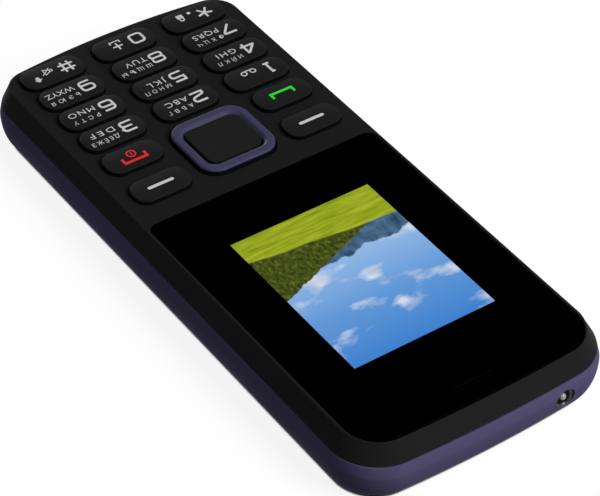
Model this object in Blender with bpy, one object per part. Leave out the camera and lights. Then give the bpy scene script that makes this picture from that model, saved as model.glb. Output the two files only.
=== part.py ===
"""A bar phone with a keypad, lying on its back.

Metres, +Z out of the face, +Y toward the earpiece end, +X to the user's right.
The origin is under the middle of the body, on the surface that the phone rests on.
"""

import math

import bmesh
import bpy
from mathutils import Matrix, Vector

for old in list(bpy.data.objects):
    bpy.data.objects.remove(old, do_unlink=True)

# General
GAP = 0.0003  # between pieces that touch on the real phone
OVERRUN = 0.001  # how far a cut runs past the face that it opens
CORNER_STEPS = 6  # facets on a quarter turn of a large corner
SMALL_CORNER_STEPS = 4
ROUND_STEPS = 16  # facets round a small cylinder
END_POINTS = 5  # points between the corners of a bowed end

# Body outline at its widest
BODY_HALF_WIDTH = 0.0259
BODY_LENGTH = 0.1167
BODY_HALF_LENGTH = BODY_LENGTH / 2
TOP_CORNER = 0.0088
BOTTOM_CORNER = 0.0064
TOP_BOW = 0.0011  # how far the end's sides fall back from its middle
BOTTOM_BOW = 0.0018
LEAST_CORNER = 0.0012

# Body section, heights above the rest face
FACE_Z = 0.0120
WIDEST_Z = 0.0068
SEAM_Z = 0.0087  # lower rim of the front housing
FACE_EDGE = 0.0004  # height of the small rounding round the face
FACE_ROUNDING = 0.00035  # its reach inward
SIDE_LEAN = 0.00205  # the side wall's lean inward from the widest line up to the face
TOP_LEAN = 0.0024
BOTTOM_LEAN = 0.0014
SEAM_LEAN_SHARE = 0.22  # how much of that lean is reached at the seam
SIDE_ROUNDING = 0.0031  # how far the lower edge rounds in under the sides
END_ROUNDING = 0.0039
ROUNDING_STEPS = 6

# Walls
FRONT_WALL = 0.0012
FACE_PLATE = 0.0012  # under the keys
WINDOW_PLATE = 0.0020  # under the window, with the window's pocket in it
COVER_WALL = 0.0012
COVER_CLEARANCE = 0.00035
REAR_WALL = 0.0010
SEAM = 0.00025

# Display window
WINDOW_SIDE = 0.0030  # between the window and the body's widest line
WINDOW_END = 0.0031
WINDOW_HALF_WIDTH = BODY_HALF_WIDTH - WINDOW_SIDE
WINDOW_TOP = BODY_HALF_LENGTH - WINDOW_END
WINDOW_BOTTOM_SHARE = 0.13
WINDOW_BOTTOM = -BODY_HALF_LENGTH * WINDOW_BOTTOM_SHARE
WINDOW_TOP_CORNER = 0.0058
WINDOW_BOTTOM_CORNER = 0.0015
WINDOW_BOW = 0.0008
WINDOW_THICKNESS = 0.0009
WINDOW_GAP = 0.00025

# Display
DISPLAY_SHARE = 0.3676
GLASS_ABOVE_SHARE = 0.334
GLASS_BELOW_SHARE = 0.351
MODULE_ABOVE_SHARE = 0.377
MODULE_BELOW_SHARE = 0.411
DISPLAY_Y = BODY_HALF_LENGTH * DISPLAY_SHARE  # middle of the picture
GLASS_HALF_WIDTH = 0.0155
GLASS_ABOVE = BODY_HALF_LENGTH * GLASS_ABOVE_SHARE  # beyond the middle, toward the earpiece
GLASS_BELOW = BODY_HALF_LENGTH * GLASS_BELOW_SHARE
DISPLAY_HALF_WIDTH = 0.0173
DISPLAY_ABOVE = BODY_HALF_LENGTH * MODULE_ABOVE_SHARE
DISPLAY_BELOW = BODY_HALF_LENGTH * MODULE_BELOW_SHARE
DISPLAY_THICKNESS = 0.0018
DISPLAY_CORNER = 0.0010
FLEX_WIDTH = 0.0120
FLEX_THICKNESS = 0.0002
FLEX_LENGTH = 0.0050

# Earpiece
EARPIECE_DROP = 0.0037  # below the window's upper edge
EARPIECE_Y = WINDOW_TOP - EARPIECE_DROP
EARPIECE_SLOT = 0.0082
EARPIECE_SLOT_HEIGHT = 0.0007
MESH_LENGTH = 0.0088
MESH_HEIGHT = 0.0013
MESH_THICKNESS = 0.0005
RECEIVER_LENGTH = 0.0110
RECEIVER_HEIGHT = 0.0062

# Keys
KEY_TRAVEL = 0.00035
KEY_GAP = 0.00015
KEY_SIDE = 0.004825  # between the keys and the body's widest line
KEY_FIELD_HALF_WIDTH = BODY_HALF_WIDTH - KEY_SIDE
KEY_BETWEEN = 0.00285  # between columns
KEY_ROW_BETWEEN = 0.00107
KEY_WIDTH = (2 * KEY_FIELD_HALF_WIDTH - 2 * KEY_BETWEEN) / 3
KEY_RISE = 0.0008  # edge of a key above the face
KEY_CROWN = 0.00015  # its middle above its edge
KEY_EDGE = 0.00015  # rounding of the top edge
KEY_CROWN_INSET_SHARE = 0.35
KEY_COLUMN = KEY_WIDTH + KEY_BETWEEN
NAV_SHARE = 0.33
NAV_Y = -BODY_HALF_LENGTH * NAV_SHARE
FIRST_ROW_SHARE = 0.533
LAST_ROW_END = 0.0068  # above the lower end
FIRST_ROW_Y = -BODY_HALF_LENGTH * FIRST_ROW_SHARE
LAST_ROW_Y = LAST_ROW_END - BODY_HALF_LENGTH
KEY_ROW = (FIRST_ROW_Y - LAST_ROW_Y) / 3
KEY_HEIGHT = KEY_ROW - KEY_ROW_BETWEEN
KEY_CORNER_SHARE = 0.417
KEY_CORNER = KEY_HEIGHT * KEY_CORNER_SHARE
SOFT_INNER_X = 0.0101
SOFT_WIDTH = KEY_FIELD_HALF_WIDTH - SOFT_INNER_X
SOFT_X = (KEY_FIELD_HALF_WIDTH + SOFT_INNER_X) / 2
SIDE_KEYS_BETWEEN = 0.00315  # between a soft key and the key below it
SIDE_KEYS_DROP = 0.0001
SIDE_KEYS_Y = NAV_Y - SIDE_KEYS_DROP
SOFT_Y = SIDE_KEYS_Y + (KEY_HEIGHT + SIDE_KEYS_BETWEEN) / 2
CALL_Y = SIDE_KEYS_Y - (KEY_HEIGHT + SIDE_KEYS_BETWEEN) / 2
EAR_REACH = 0.0007  # lip that keeps a key in its opening
EAR_THICKNESS = 0.0005
EAR_SHARE = 0.62
EAR_HEIGHT = KEY_HEIGHT * EAR_SHARE

# Navigation keys
RING_HALF_WIDTH = 0.00765
RING_HEIGHT_SHARE = 1.27  # of a key's height
RING_HALF_HEIGHT = KEY_HEIGHT * RING_HEIGHT_SHARE
RING_CORNER = 0.0036
RING_RISE = 0.0011
RING_FLAT_WIDTH = 0.00125  # of its flat top at the sides
RING_FLAT_HEIGHT = 0.00145  # and toward the ends
RING_SLOPE_WIDTH = 0.00075
RING_SLOPE_HEIGHT = 0.0008
RING_INNER_HALF_WIDTH = RING_HALF_WIDTH - RING_FLAT_WIDTH
RING_INNER_HALF_HEIGHT = RING_HALF_HEIGHT - RING_FLAT_HEIGHT
RING_INNER_CORNER = 0.0025
RING_OPENING_HALF_WIDTH = RING_INNER_HALF_WIDTH - RING_SLOPE_WIDTH
RING_OPENING_HALF_HEIGHT = RING_INNER_HALF_HEIGHT - RING_SLOPE_HEIGHT
RING_OPENING_CORNER = 0.0018
RING_DIP = 0.0007  # how far the inner slope drops
RING_EDGE = 0.00025
RING_LIP_REACH = 0.0006
RING_LIP_THICKNESS = 0.0004
CENTRE_RISE = 0.00095
CENTRE_CLEARANCE = 0.0002
CENTRE_STEM_RADIUS = 0.0015
ROCKER_INSET = 0.0010
ROCKER_HALF_WIDTH = RING_HALF_WIDTH - ROCKER_INSET
ROCKER_HALF_HEIGHT = RING_HALF_HEIGHT - ROCKER_INSET
ROCKER_THICKNESS = 0.0004
ROCKER_OPENING = 0.0038
ROCKER_CORNER = 0.0020
TILT_CLEARANCE = 0.00035

# Board and keypad layers
BOARD_THICKNESS = 0.0008
DOME_RADIUS = 0.0020
DOME_HEIGHT = 0.0004
DOME_TOP_SHARE = 0.5
DOME_STEPS = 8
DOME_SHEET_THICKNESS = 0.0002
DOME_SHEET_MARGIN = 0.0009  # how far the dome sheet stays inside the mat's edge
MAT_THICKNESS = 0.0004
MAT_SIDE = 0.0008  # beyond the keys
MAT_BEYOND_RING = 0.00145
MAT_END = 0.00335  # beyond the last row's middle
MAT_HALF_WIDTH = KEY_FIELD_HALF_WIDTH + MAT_SIDE
MAT_TOP = NAV_Y + RING_HALF_HEIGHT + MAT_BEYOND_RING
MAT_BOTTOM = LAST_ROW_Y - MAT_END
MAT_CORNER = 0.0030

# Rear housing and battery
BATTERY_SIDE = 0.0089  # between the battery and the body's widest line
BATTERY_DROP = 0.03535  # below the upper end
SIM_LENGTH = 0.0135
SIM_END = 0.0184  # between the lower end and the middle of the card holders
SIM_Y = SIM_END - BODY_HALF_LENGTH
BATTERY_ABOVE_CARDS = 0.0032
BATTERY_WIDTH = 2 * (BODY_HALF_WIDTH - BATTERY_SIDE)
BATTERY_TOP = BODY_HALF_LENGTH - BATTERY_DROP
BATTERY_LENGTH = BATTERY_TOP - SIM_Y - SIM_LENGTH / 2 - BATTERY_ABOVE_CARDS
BATTERY_THICKNESS = 0.0038
BATTERY_EDGE = 0.0005
BATTERY_CORNER = 0.0012
BAY_CLEARANCE = 0.00035
FLOOR_THICKNESS = 0.0008
CONTACT_WIDTH_SHARE = 0.386
CONTACT_WIDTH = BODY_HALF_WIDTH * CONTACT_WIDTH_SHARE
PAD_WIDTH = 0.0016  # grooves over the battery's terminals
PAD_PITCH = 0.0030
PAD_DEPTH = 0.0008
PAD_FOOT_Z = 0.0031
POCKET_SIDE = 0.0034  # between the side pockets and the body's widest line
POCKET_WIDTH = 0.0040
POCKET_DROP = 0.0030  # below the battery's upper end
POCKET_RISE = 0.0053  # above the lower screws
POCKET_OUTER_X = BODY_HALF_WIDTH - POCKET_SIDE
POCKET_INNER_X = POCKET_OUTER_X - POCKET_WIDTH
POCKET_TOP = BATTERY_TOP - POCKET_DROP
POCKET_FLOOR = 0.0026

# Card holders
SIM_WIDTH = 0.0150
SIM_X = 0.0102
CARD_RECESS_MARGIN = 0.0005
HOLDER_HEIGHT = 0.0016
HOLDER_SIDE = 0.0008
HOLDER_ROOF = 0.0003
CARD_SLOT_HEIGHT = 0.0009
MEMORY_WIDTH = 0.0124
MEMORY_LENGTH = 0.0110
MEMORY_BESIDE_CONTACTS = 0.0012
MEMORY_DROP = 0.02775
MEMORY_X = -CONTACT_WIDTH / 2 - MEMORY_BESIDE_CONTACTS - MEMORY_WIDTH / 2
MEMORY_Y = BODY_HALF_LENGTH - MEMORY_DROP

# Upper parts
SPEAKER_WIDTH_SHARE = 0.58
SPEAKER_WIDTH = BODY_HALF_WIDTH * SPEAKER_WIDTH_SHARE
SPEAKER_LENGTH = 0.0110
SPEAKER_THICKNESS = 0.0032
SPEAKER_CORNER = 0.0020
SPEAKER_CONE_MARGIN = 0.0015
SPEAKER_CONE_DEPTH = 0.0006
SPEAKER_SHARE = 0.405
SPEAKER_DROP = 0.01635
SPEAKER_X = BODY_HALF_WIDTH * SPEAKER_SHARE
SPEAKER_Y = BODY_HALF_LENGTH - SPEAKER_DROP
CAMERA_DROP = 0.01485
CAMERA_Y = BODY_HALF_LENGTH - CAMERA_DROP
CAMERA_BESIDE_MOTOR = 0.00055
CAMERA_WIDTH = 0.0060
CAMERA_HEIGHT = 0.0036
CAMERA_LENS_RADIUS = 0.0021
CAMERA_LENS_HEIGHT = 0.0007
CAMERA_WINDOW_RADIUS = 0.0034
CAMERA_WINDOW_THICKNESS = 0.0005
CAMERA_WINDOW_SINK = 0.0001
CAMERA_SIGHT_RADIUS = 0.0024
CAN_WIDTH_SHARE = 0.463
CAN_WIDTH = BODY_HALF_WIDTH * CAN_WIDTH_SHARE
CAN_LENGTH = 0.0085
CAN_HEIGHT = 0.0014
CAN_CORNER = 0.0005
CAN_SHEET = 0.0003
CAN_BESIDE_CONTACTS = 0.0028
CAN_DROP = 0.02855
CAN_X = CONTACT_WIDTH / 2 + CAN_BESIDE_CONTACTS + CAN_WIDTH / 2
CAN_Y = BODY_HALF_LENGTH - CAN_DROP
MOTOR_RADIUS = 0.0019
MOTOR_LENGTH_SHARE = 0.328
MOTOR_SHARE = 0.579
MOTOR_LENGTH = BODY_HALF_WIDTH * MOTOR_LENGTH_SHARE
MOTOR_X = -BODY_HALF_WIDTH * MOTOR_SHARE
MOTOR_Y = SPEAKER_Y
MOTOR_Z = 0.0044
MOTOR_SHAFT_RADIUS = 0.0004
WEIGHT_RADIUS = 0.0017
WEIGHT_LENGTH = 0.0024
WEIGHT_GAP = 0.0004
MOTOR_POCKET_END = MOTOR_X + MOTOR_LENGTH / 2 + WEIGHT_GAP + WEIGHT_LENGTH + GAP
CAMERA_X = MOTOR_POCKET_END + CAMERA_BESIDE_MOTOR + GAP + CAMERA_WIDTH / 2
CONTACT_LENGTH = 0.0036
CONTACT_HEIGHT = 0.0034
CONTACT_NOSE = 0.0007
CONTACT_NOSE_WIDTH = 0.0009
CONTACT_NOSE_HEIGHT = 0.0010

# Torch in the upper end
TORCH_SIDE = 0.0120
TORCH_X = TORCH_SIDE - BODY_HALF_WIDTH
TORCH_Z = 0.0053
TORCH_RADIUS = 0.0020
TORCH_LED_RADIUS = 0.0012
TORCH_LED_LENGTH = 0.0030
TORCH_LED_TIP = 0.0008
TORCH_TIP_SHARES = (0.85, 0.4)

# Lower end
USB_WIDTH = 0.0075
USB_HEIGHT = 0.0025
USB_LENGTH = 0.0052
USB_WALL = 0.0004
USB_CORNER = 0.0006
USB_DEPTH = 0.0040
USB_OPENING_MARGIN = 0.0006
JACK_SIDE = 0.0129
JACK_X = BODY_HALF_WIDTH - JACK_SIDE
JACK_RADIUS = 0.00175
JACK_BODY_WIDTH = 0.0060
JACK_BODY_HEIGHT = 0.0044
JACK_LENGTH = 0.0070
JACK_DEPTH = 0.0060
JACK_OPENING_MARGIN = 0.0005
MIC_SIDE = 0.0139
MIC_END = 0.00535
MIC_X = MIC_SIDE - BODY_HALF_WIDTH
MIC_Y = MIC_END - BODY_HALF_LENGTH
MIC_RADIUS = 0.0020
MIC_LENGTH = 0.0014
MIC_HOLE_RADIUS = 0.0006
ANTENNA_WIDTH = 0.0170
ANTENNA_LENGTH = 0.0050
ANTENNA_THICKNESS = 0.0003
ANTENNA_SIDE = 0.0169
ANTENNA_END = 0.00765
ANTENNA_X = ANTENNA_SIDE - BODY_HALF_WIDTH
ANTENNA_Y = ANTENNA_END - BODY_HALF_LENGTH

# Screws
SCREW_RADIUS = 0.00065
SCREW_HEAD_RADIUS = 0.0012
SCREW_HEAD_HEIGHT = 0.0007
SCREW_SINK = 0.0012
UPPER_SCREW_SIDE = 0.0064
UPPER_SCREW_DROP = 0.00835
LOWER_SCREW_SIDE = 0.0056
UPPER_SCREW_X = BODY_HALF_WIDTH - UPPER_SCREW_SIDE
UPPER_SCREW_Y = BODY_HALF_LENGTH - UPPER_SCREW_DROP
LOWER_SCREW_X = BODY_HALF_WIDTH - LOWER_SCREW_SIDE
LOWER_SCREW_Y = SIDE_KEYS_Y
POCKET_BOTTOM = LOWER_SCREW_Y + POCKET_RISE
SCREW_BITE = 0.0018
SCREW_STEPS = 10
BOSS_WALL = 0.0005

# Battery cover details
SLOT_COUNT = 5
SLOT_LENGTH = 0.0090
SLOT_WIDTH = 0.0010
SLOT_PITCH = 0.0020
NOTCH_WIDTH = 0.0100
NOTCH_DEPTH = 0.0006
NOTCH_X = -0.0060

# Heights worked out from the stack
SLOPE_FOOT_Z = FACE_Z - FACE_EDGE
PLATE_UNDER_Z = FACE_Z - FACE_PLATE
WINDOW_PLATE_UNDER_Z = FACE_Z - WINDOW_PLATE
WINDOW_UNDER_Z = FACE_Z - WINDOW_THICKNESS
POCKET_Z = WINDOW_UNDER_Z - GAP
GLASS_TOP_Z = WINDOW_UNDER_Z - GAP
COVER_RIM_Z = SEAM_Z - SEAM
REAR_RIM_Z = SEAM_Z - GAP
BOARD_TOP_Z = WINDOW_PLATE_UNDER_Z - DISPLAY_THICKNESS - 2 * GAP
BOARD_UNDER_Z = BOARD_TOP_Z - BOARD_THICKNESS
FLOOR_TOP_Z = BOARD_UNDER_Z - GAP
FLOOR_UNDER_Z = FLOOR_TOP_Z - FLOOR_THICKNESS
REAR_BACK_Z = COVER_WALL + COVER_CLEARANCE
DOME_Z = BOARD_TOP_Z + GAP
MAT_Z = DOME_Z + DOME_HEIGHT + GAP
MAT_TOP_Z = MAT_Z + MAT_THICKNESS
EAR_TOP_Z = PLATE_UNDER_Z - GAP
KEY_UNDER_Z = MAT_TOP_Z + GAP + KEY_TRAVEL
RING_UNDER_Z = PLATE_UNDER_Z - TILT_CLEARANCE - RING_LIP_THICKNESS
ROCKER_Z = RING_UNDER_Z - TILT_CLEARANCE - ROCKER_THICKNESS
CENTRE_UNDER_Z = ROCKER_Z + ROCKER_THICKNESS + KEY_TRAVEL + GAP / 2
BOSS_END_Z = BOARD_TOP_Z + GAP
MOUNT_Z = BOARD_UNDER_Z - GAP  # upper side of what the board carries underneath

# Insets worked out from the walls
REAR_INSET = COVER_WALL + COVER_CLEARANCE
CAVITY_INSET = REAR_INSET + REAR_WALL + SIDE_LEAN * SEAM_LEAN_SHARE
BOARD_INSET = CAVITY_INSET + GAP


def material(name, colour, roughness, metallic=0.0):
    """A plain Principled material."""
    made = bpy.data.materials.new(name)
    made.use_nodes = True
    shader = made.node_tree.nodes["Principled BSDF"]
    shader.inputs["Base Color"].default_value = (*colour, 1.0)
    shader.inputs["Roughness"].default_value = roughness
    shader.inputs["Metallic"].default_value = metallic
    return made


BLACK_PLASTIC = material("black_plastic", (0.012, 0.012, 0.012), 0.5)
KEY_PLASTIC = material("key_plastic", (0.014, 0.014, 0.014), 0.45)
PURPLE_PLASTIC = material("purple_plastic", (0.060, 0.052, 0.130), 0.45)
WINDOW_PLASTIC = material("window_plastic", (0.004, 0.004, 0.004), 0.05)
DARK_GLASS = material("display_glass", (0.02, 0.03, 0.05), 0.1)
SILICONE = material("silicone", (0.30, 0.30, 0.32), 0.7)
BOARD_GREEN = material("circuit_board", (0.010, 0.090, 0.045), 0.5)
STEEL = material("sheet_steel", (0.60, 0.60, 0.62), 0.35, 1.0)
GOLD = material("gold_contacts", (0.80, 0.58, 0.22), 0.3, 1.0)
FLEX_AMBER = material("flex_film", (0.45, 0.20, 0.03), 0.4)
BATTERY_WRAP = material("battery_wrap", (0.10, 0.10, 0.11), 0.5)
LED_CLEAR = material("led_epoxy", (0.75, 0.75, 0.72), 0.15)
LENS_GLASS = material("lens_glass", (0.01, 0.01, 0.015), 0.05)


def mesh_object(name, bm, skin):
    """An object from bm, shaded smooth but sharp at its edges."""
    bmesh.ops.recalc_face_normals(bm, faces=bm.faces)
    mesh = bpy.data.meshes.new(name)
    bm.to_mesh(mesh)
    bm.free()
    mesh.materials.append(skin)
    mesh.shade_smooth()
    mesh.set_sharp_from_angle(angle=math.radians(30))
    made = bpy.data.objects.new(name, mesh)
    bpy.context.collection.objects.link(made)
    return made


def add_loft(bm, rings):
    """Closed body through rings, each a list of points in order."""
    rows = [[bm.verts.new(point) for point in ring] for ring in rings]
    for low, high in zip(rows, rows[1:]):
        for i in range(len(low)):
            j = (i + 1) % len(low)
            bm.faces.new((low[i], low[j], high[j], high[i]))
    bm.faces.new(rows[0])
    bm.faces.new(rows[-1])


def loft(name, rings, skin=BLACK_PLASTIC):
    bm = bmesh.new()
    add_loft(bm, rings)
    return mesh_object(name, bm, skin)


def level(outline, z):
    """The outline's points at height z."""
    return [Vector((x, y, z)) for x, y in outline]


def arc(centre, radius, start, steps):
    """Points of a quarter turn, counter-clockwise from start degrees."""
    turn = [math.radians(start + 90 * k / steps) for k in range(steps + 1)]
    return [(centre[0] + radius * math.cos(a), centre[1] + radius * math.sin(a)) for a in turn]


def rounded(half_x, half_y, corner, x=0.0, y=0.0, steps=SMALL_CORNER_STEPS):
    """A rounded rectangle round (x, y)."""
    reach_x = half_x - corner
    reach_y = half_y - corner
    points = arc((x + reach_x, y + reach_y), corner, 0, steps)
    points += arc((x - reach_x, y + reach_y), corner, 90, steps)
    points += arc((x - reach_x, y - reach_y), corner, 180, steps)
    points += arc((x + reach_x, y - reach_y), corner, 270, steps)
    return points


def rectangle(half_x, half_y, x=0.0, y=0.0):
    return [
        (x + half_x, y - half_y),
        (x + half_x, y + half_y),
        (x - half_x, y + half_y),
        (x - half_x, y - half_y),
    ]


def circle(radius, x=0.0, y=0.0, steps=ROUND_STEPS):
    turn = [2 * math.pi * k / steps for k in range(steps)]
    return [(x + radius * math.cos(a), y + radius * math.sin(a)) for a in turn]


def bowed(half_width, top, bottom, top_corner, bottom_corner, top_bow, bottom_bow):
    """An outline with rounded corners whose two ends bow outward."""
    reach_top = half_width - top_corner
    reach_bottom = half_width - bottom_corner
    points = arc((reach_top, top - top_corner), top_corner, 0, CORNER_STEPS)
    for k in range(1, END_POINTS + 1):
        points.append((reach_top * (1 - 2 * k / (END_POINTS + 1)), top))
    points += arc((-reach_top, top - top_corner), top_corner, 90, CORNER_STEPS)
    points += arc((-reach_bottom, bottom + bottom_corner), bottom_corner, 180, CORNER_STEPS)
    for k in range(1, END_POINTS + 1):
        points.append((reach_bottom * (2 * k / (END_POINTS + 1) - 1), bottom))
    points += arc((reach_bottom, bottom + bottom_corner), bottom_corner, 270, CORNER_STEPS)
    middle = (top + bottom) / 2
    bent = []
    for x, y in points:
        bow = -top_bow if y > middle else bottom_bow
        bent.append((x, y + bow * (x / half_width) ** 2))
    return bent


def body_outline(side, top, bottom):
    """The body's outline, drawn in from its widest by side, top and bottom."""
    return bowed(
        BODY_HALF_WIDTH - side,
        BODY_HALF_LENGTH - top,
        bottom - BODY_HALF_LENGTH,
        max(TOP_CORNER - side, LEAST_CORNER),
        max(BOTTOM_CORNER - side, LEAST_CORNER),
        TOP_BOW,
        BOTTOM_BOW,
    )


def lean_at(z):
    """Share of the upper walls' lean reached at height z."""
    if z <= WIDEST_Z:
        return 0.0
    if z <= SEAM_Z:
        return SEAM_LEAN_SHARE * (z - WIDEST_Z) / (SEAM_Z - WIDEST_Z)
    rise = (z - SEAM_Z) / (SLOPE_FOOT_Z - SEAM_Z)
    return SEAM_LEAN_SHARE + (1 - SEAM_LEAN_SHARE) * rise


def upper_ring(z, inward=0.0):
    """The body's outline at a height above its widest line."""
    share = lean_at(z)
    return level(
        body_outline(
            inward + SIDE_LEAN * share, inward + TOP_LEAN * share, inward + BOTTOM_LEAN * share
        ),
        z,
    )


def lower_rings(inward, floor):
    """Rings of the rounded lower edge from floor up to the widest line."""
    rings = []
    for k in range(ROUNDING_STEPS):
        turn = math.radians(90 - 90 * k / ROUNDING_STEPS)
        side = (SIDE_ROUNDING - inward) * (1 - math.cos(turn))
        end = (END_ROUNDING - inward) * (1 - math.cos(turn))
        z = WIDEST_Z - (WIDEST_Z - floor) * math.sin(turn)
        rings.append(level(body_outline(inward + side, inward + end, inward + end), z))
    rings.append(level(body_outline(inward, inward, inward), WIDEST_Z))
    return rings


def prism(name, outline, low, high, skin=BLACK_PLASTIC):
    return loft(name, [level(outline, low), level(outline, high)], skin)


def chamfered(name, size, corner, edge, place, low, high, skin):
    """A rounded block with chamfered upper and lower edges."""
    half_x, half_y = size[0] / 2, size[1] / 2
    inner = rounded(half_x - edge, half_y - edge, max(corner - edge, edge), *place)
    outer = rounded(half_x, half_y, corner, *place)
    rings = [level(inner, low), level(outer, low + edge), level(outer, high - edge), level(inner, high)]
    return loft(name, rings, skin)


def cutter(tool):
    """Hides a body that only cuts."""
    tool.hide_render = True
    tool.display_type = "WIRE"
    return tool


def combine(target, tool, operation):
    change = target.modifiers.new(operation.lower(), "BOOLEAN")
    change.operation = operation
    change.solver = "EXACT"
    change.object = cutter(tool)


def cut(target, *tools):
    for tool in tools:
        combine(target, tool, "DIFFERENCE")


def fuse(target, *tools):
    for tool in tools:
        combine(target, tool, "UNION")


def many(name, outlines, low, high, skin=BLACK_PLASTIC):
    """Separate prisms in one object."""
    bm = bmesh.new()
    for outline in outlines:
        add_loft(bm, [level(outline, low), level(outline, high)])
    return mesh_object(name, bm, skin)


def set_origin(thing, point):
    """Moves an object's origin to point and leaves its shape where it is."""
    shift = Vector(point) - thing.location
    thing.data.transform(Matrix.Translation(-shift))
    thing.location += shift


def number_key_places():
    """Name and middle of each of the twelve number keys."""
    names = (("1", "2", "3"), ("4", "5", "6"), ("7", "8", "9"), ("star", "0", "hash"))
    places = {}
    for row, labels in enumerate(names):
        for column, label in enumerate(labels):
            places["key_" + label] = ((column - 1) * KEY_COLUMN, FIRST_ROW_Y - row * KEY_ROW)
    return places


def side_key_places():
    """Name and middle of the two soft keys and of the call and end keys."""
    return {
        "key_soft_left": (-SOFT_X, SOFT_Y),
        "key_soft_right": (SOFT_X, SOFT_Y),
        "key_call": (-SOFT_X, CALL_Y),
        "key_end": (SOFT_X, CALL_Y),
    }


def key(name, place, width):
    """A key cap with a slightly crowned top and an ear at each end."""
    x, y = place
    half_x, half_y = width / 2, KEY_HEIGHT / 2
    top = FACE_Z + KEY_RISE
    crown = KEY_CROWN_INSET_SHARE * half_y
    outer = rounded(half_x, half_y, KEY_CORNER, x, y)
    edge = rounded(half_x - KEY_EDGE, half_y - KEY_EDGE, KEY_CORNER - KEY_EDGE, x, y)
    inner = rounded(half_x - crown, half_y - crown, KEY_CORNER - crown, x, y)
    rings = [
        level(outer, KEY_UNDER_Z),
        level(outer, top - KEY_EDGE),
        level(edge, top),
        level(inner, top + KEY_CROWN),
    ]
    cap = loft(name, rings, KEY_PLASTIC)
    ears = rectangle(half_x + EAR_REACH, EAR_HEIGHT / 2, x, y)
    fuse(cap, prism(name + "_ears", ears, EAR_TOP_Z - EAR_THICKNESS, EAR_TOP_Z))
    set_origin(cap, (x, y, KEY_UNDER_Z))


def keys():
    for name, place in number_key_places().items():
        key(name, place, KEY_WIDTH)
    for name, place in side_key_places().items():
        key(name, place, SOFT_WIDTH)


def key_openings():
    """Outlines of the face's openings round all keys and the ring."""
    outlines = []
    for place in number_key_places().values():
        half_x, half_y = KEY_WIDTH / 2 + KEY_GAP, KEY_HEIGHT / 2 + KEY_GAP
        outlines.append(rounded(half_x, half_y, KEY_CORNER + KEY_GAP, *place))
    for place in side_key_places().values():
        half_x, half_y = SOFT_WIDTH / 2 + KEY_GAP, KEY_HEIGHT / 2 + KEY_GAP
        outlines.append(rounded(half_x, half_y, KEY_CORNER + KEY_GAP, *place))
    half_x, half_y = RING_HALF_WIDTH + TILT_CLEARANCE, RING_HALF_HEIGHT + TILT_CLEARANCE
    outlines.append(rounded(half_x, half_y, RING_CORNER + TILT_CLEARANCE, 0.0, NAV_Y))
    return outlines


def window_outline(margin=0.0):
    return bowed(
        WINDOW_HALF_WIDTH + margin,
        WINDOW_TOP + margin,
        WINDOW_BOTTOM - margin,
        WINDOW_TOP_CORNER + margin,
        WINDOW_BOTTOM_CORNER + margin,
        WINDOW_BOW,
        0.0,
    )


def glass_outline(margin=0.0):
    half_y = (GLASS_ABOVE + GLASS_BELOW) / 2 + margin
    y = DISPLAY_Y + (GLASS_ABOVE - GLASS_BELOW) / 2
    return rectangle(GLASS_HALF_WIDTH + margin, half_y, 0.0, y)


def screw_places():
    return [
        (-UPPER_SCREW_X, UPPER_SCREW_Y),
        (UPPER_SCREW_X, UPPER_SCREW_Y),
        (-LOWER_SCREW_X, LOWER_SCREW_Y),
        (LOWER_SCREW_X, LOWER_SCREW_Y),
    ]


def front_housing():
    """The moulded front: leaning side walls, window pocket, key openings, screw bosses."""
    face = level(
        body_outline(
            SIDE_LEAN + FACE_ROUNDING, TOP_LEAN + FACE_ROUNDING, BOTTOM_LEAN + FACE_ROUNDING
        ),
        FACE_Z,
    )
    shell = loft("front_housing", [upper_ring(SEAM_Z), upper_ring(SLOPE_FOOT_Z), face])
    hollow = [upper_ring(SEAM_Z, FRONT_WALL), upper_ring(WINDOW_PLATE_UNDER_Z, FRONT_WALL)]
    hollow.insert(0, [point - Vector((0.0, 0.0, OVERRUN)) for point in hollow[0]])
    cut(shell, loft("front_hollow", hollow))
    keypad_middle = (MAT_TOP + MAT_BOTTOM) / 2
    keypad_half = (MAT_TOP - MAT_BOTTOM) / 2
    field = rounded(MAT_HALF_WIDTH + GAP, keypad_half + GAP, MAT_CORNER, 0.0, keypad_middle)
    cut(shell, prism("keypad_field", field, WINDOW_PLATE_UNDER_Z - OVERRUN, PLATE_UNDER_Z))
    cut(shell, prism("window_pocket", window_outline(WINDOW_GAP), POCKET_Z, FACE_Z + OVERRUN))
    low = WINDOW_PLATE_UNDER_Z - OVERRUN
    cut(shell, prism("glass_opening", glass_outline(GAP), low, FACE_Z))
    slot = rectangle(MESH_LENGTH / 2 + GAP, MESH_HEIGHT / 2 + GAP, 0.0, EARPIECE_Y)
    cut(shell, prism("mesh_slot", slot, low, FACE_Z))
    cut(shell, many("key_openings", key_openings(), PLATE_UNDER_Z - OVERRUN, FACE_Z + OVERRUN))
    boss = SCREW_RADIUS + GAP + BOSS_WALL
    upper = [circle(boss, *place) for place in screw_places() if place[1] > 0]
    lower = [circle(boss, *place) for place in screw_places() if place[1] < 0]
    fuse(shell, many("upper_bosses", upper, BOSS_END_Z, (WINDOW_PLATE_UNDER_Z + POCKET_Z) / 2))
    fuse(shell, many("lower_bosses", lower, BOSS_END_Z, PLATE_UNDER_Z + FACE_PLATE / 2))
    holes = [circle(SCREW_RADIUS + GAP, *place) for place in screw_places()]
    depth = BOSS_END_Z + SCREW_BITE + GAP
    cut(shell, many("screw_holes", holes, BOSS_END_Z - OVERRUN, depth))


def display_window():
    pane = prism("display_window", window_outline(), WINDOW_UNDER_Z, FACE_Z, WINDOW_PLASTIC)
    slot = rounded(
        EARPIECE_SLOT / 2, EARPIECE_SLOT_HEIGHT / 2, EARPIECE_SLOT_HEIGHT / 2, 0.0, EARPIECE_Y
    )
    cut(pane, prism("earpiece_slot", slot, WINDOW_UNDER_Z - OVERRUN, FACE_Z + OVERRUN))


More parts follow.
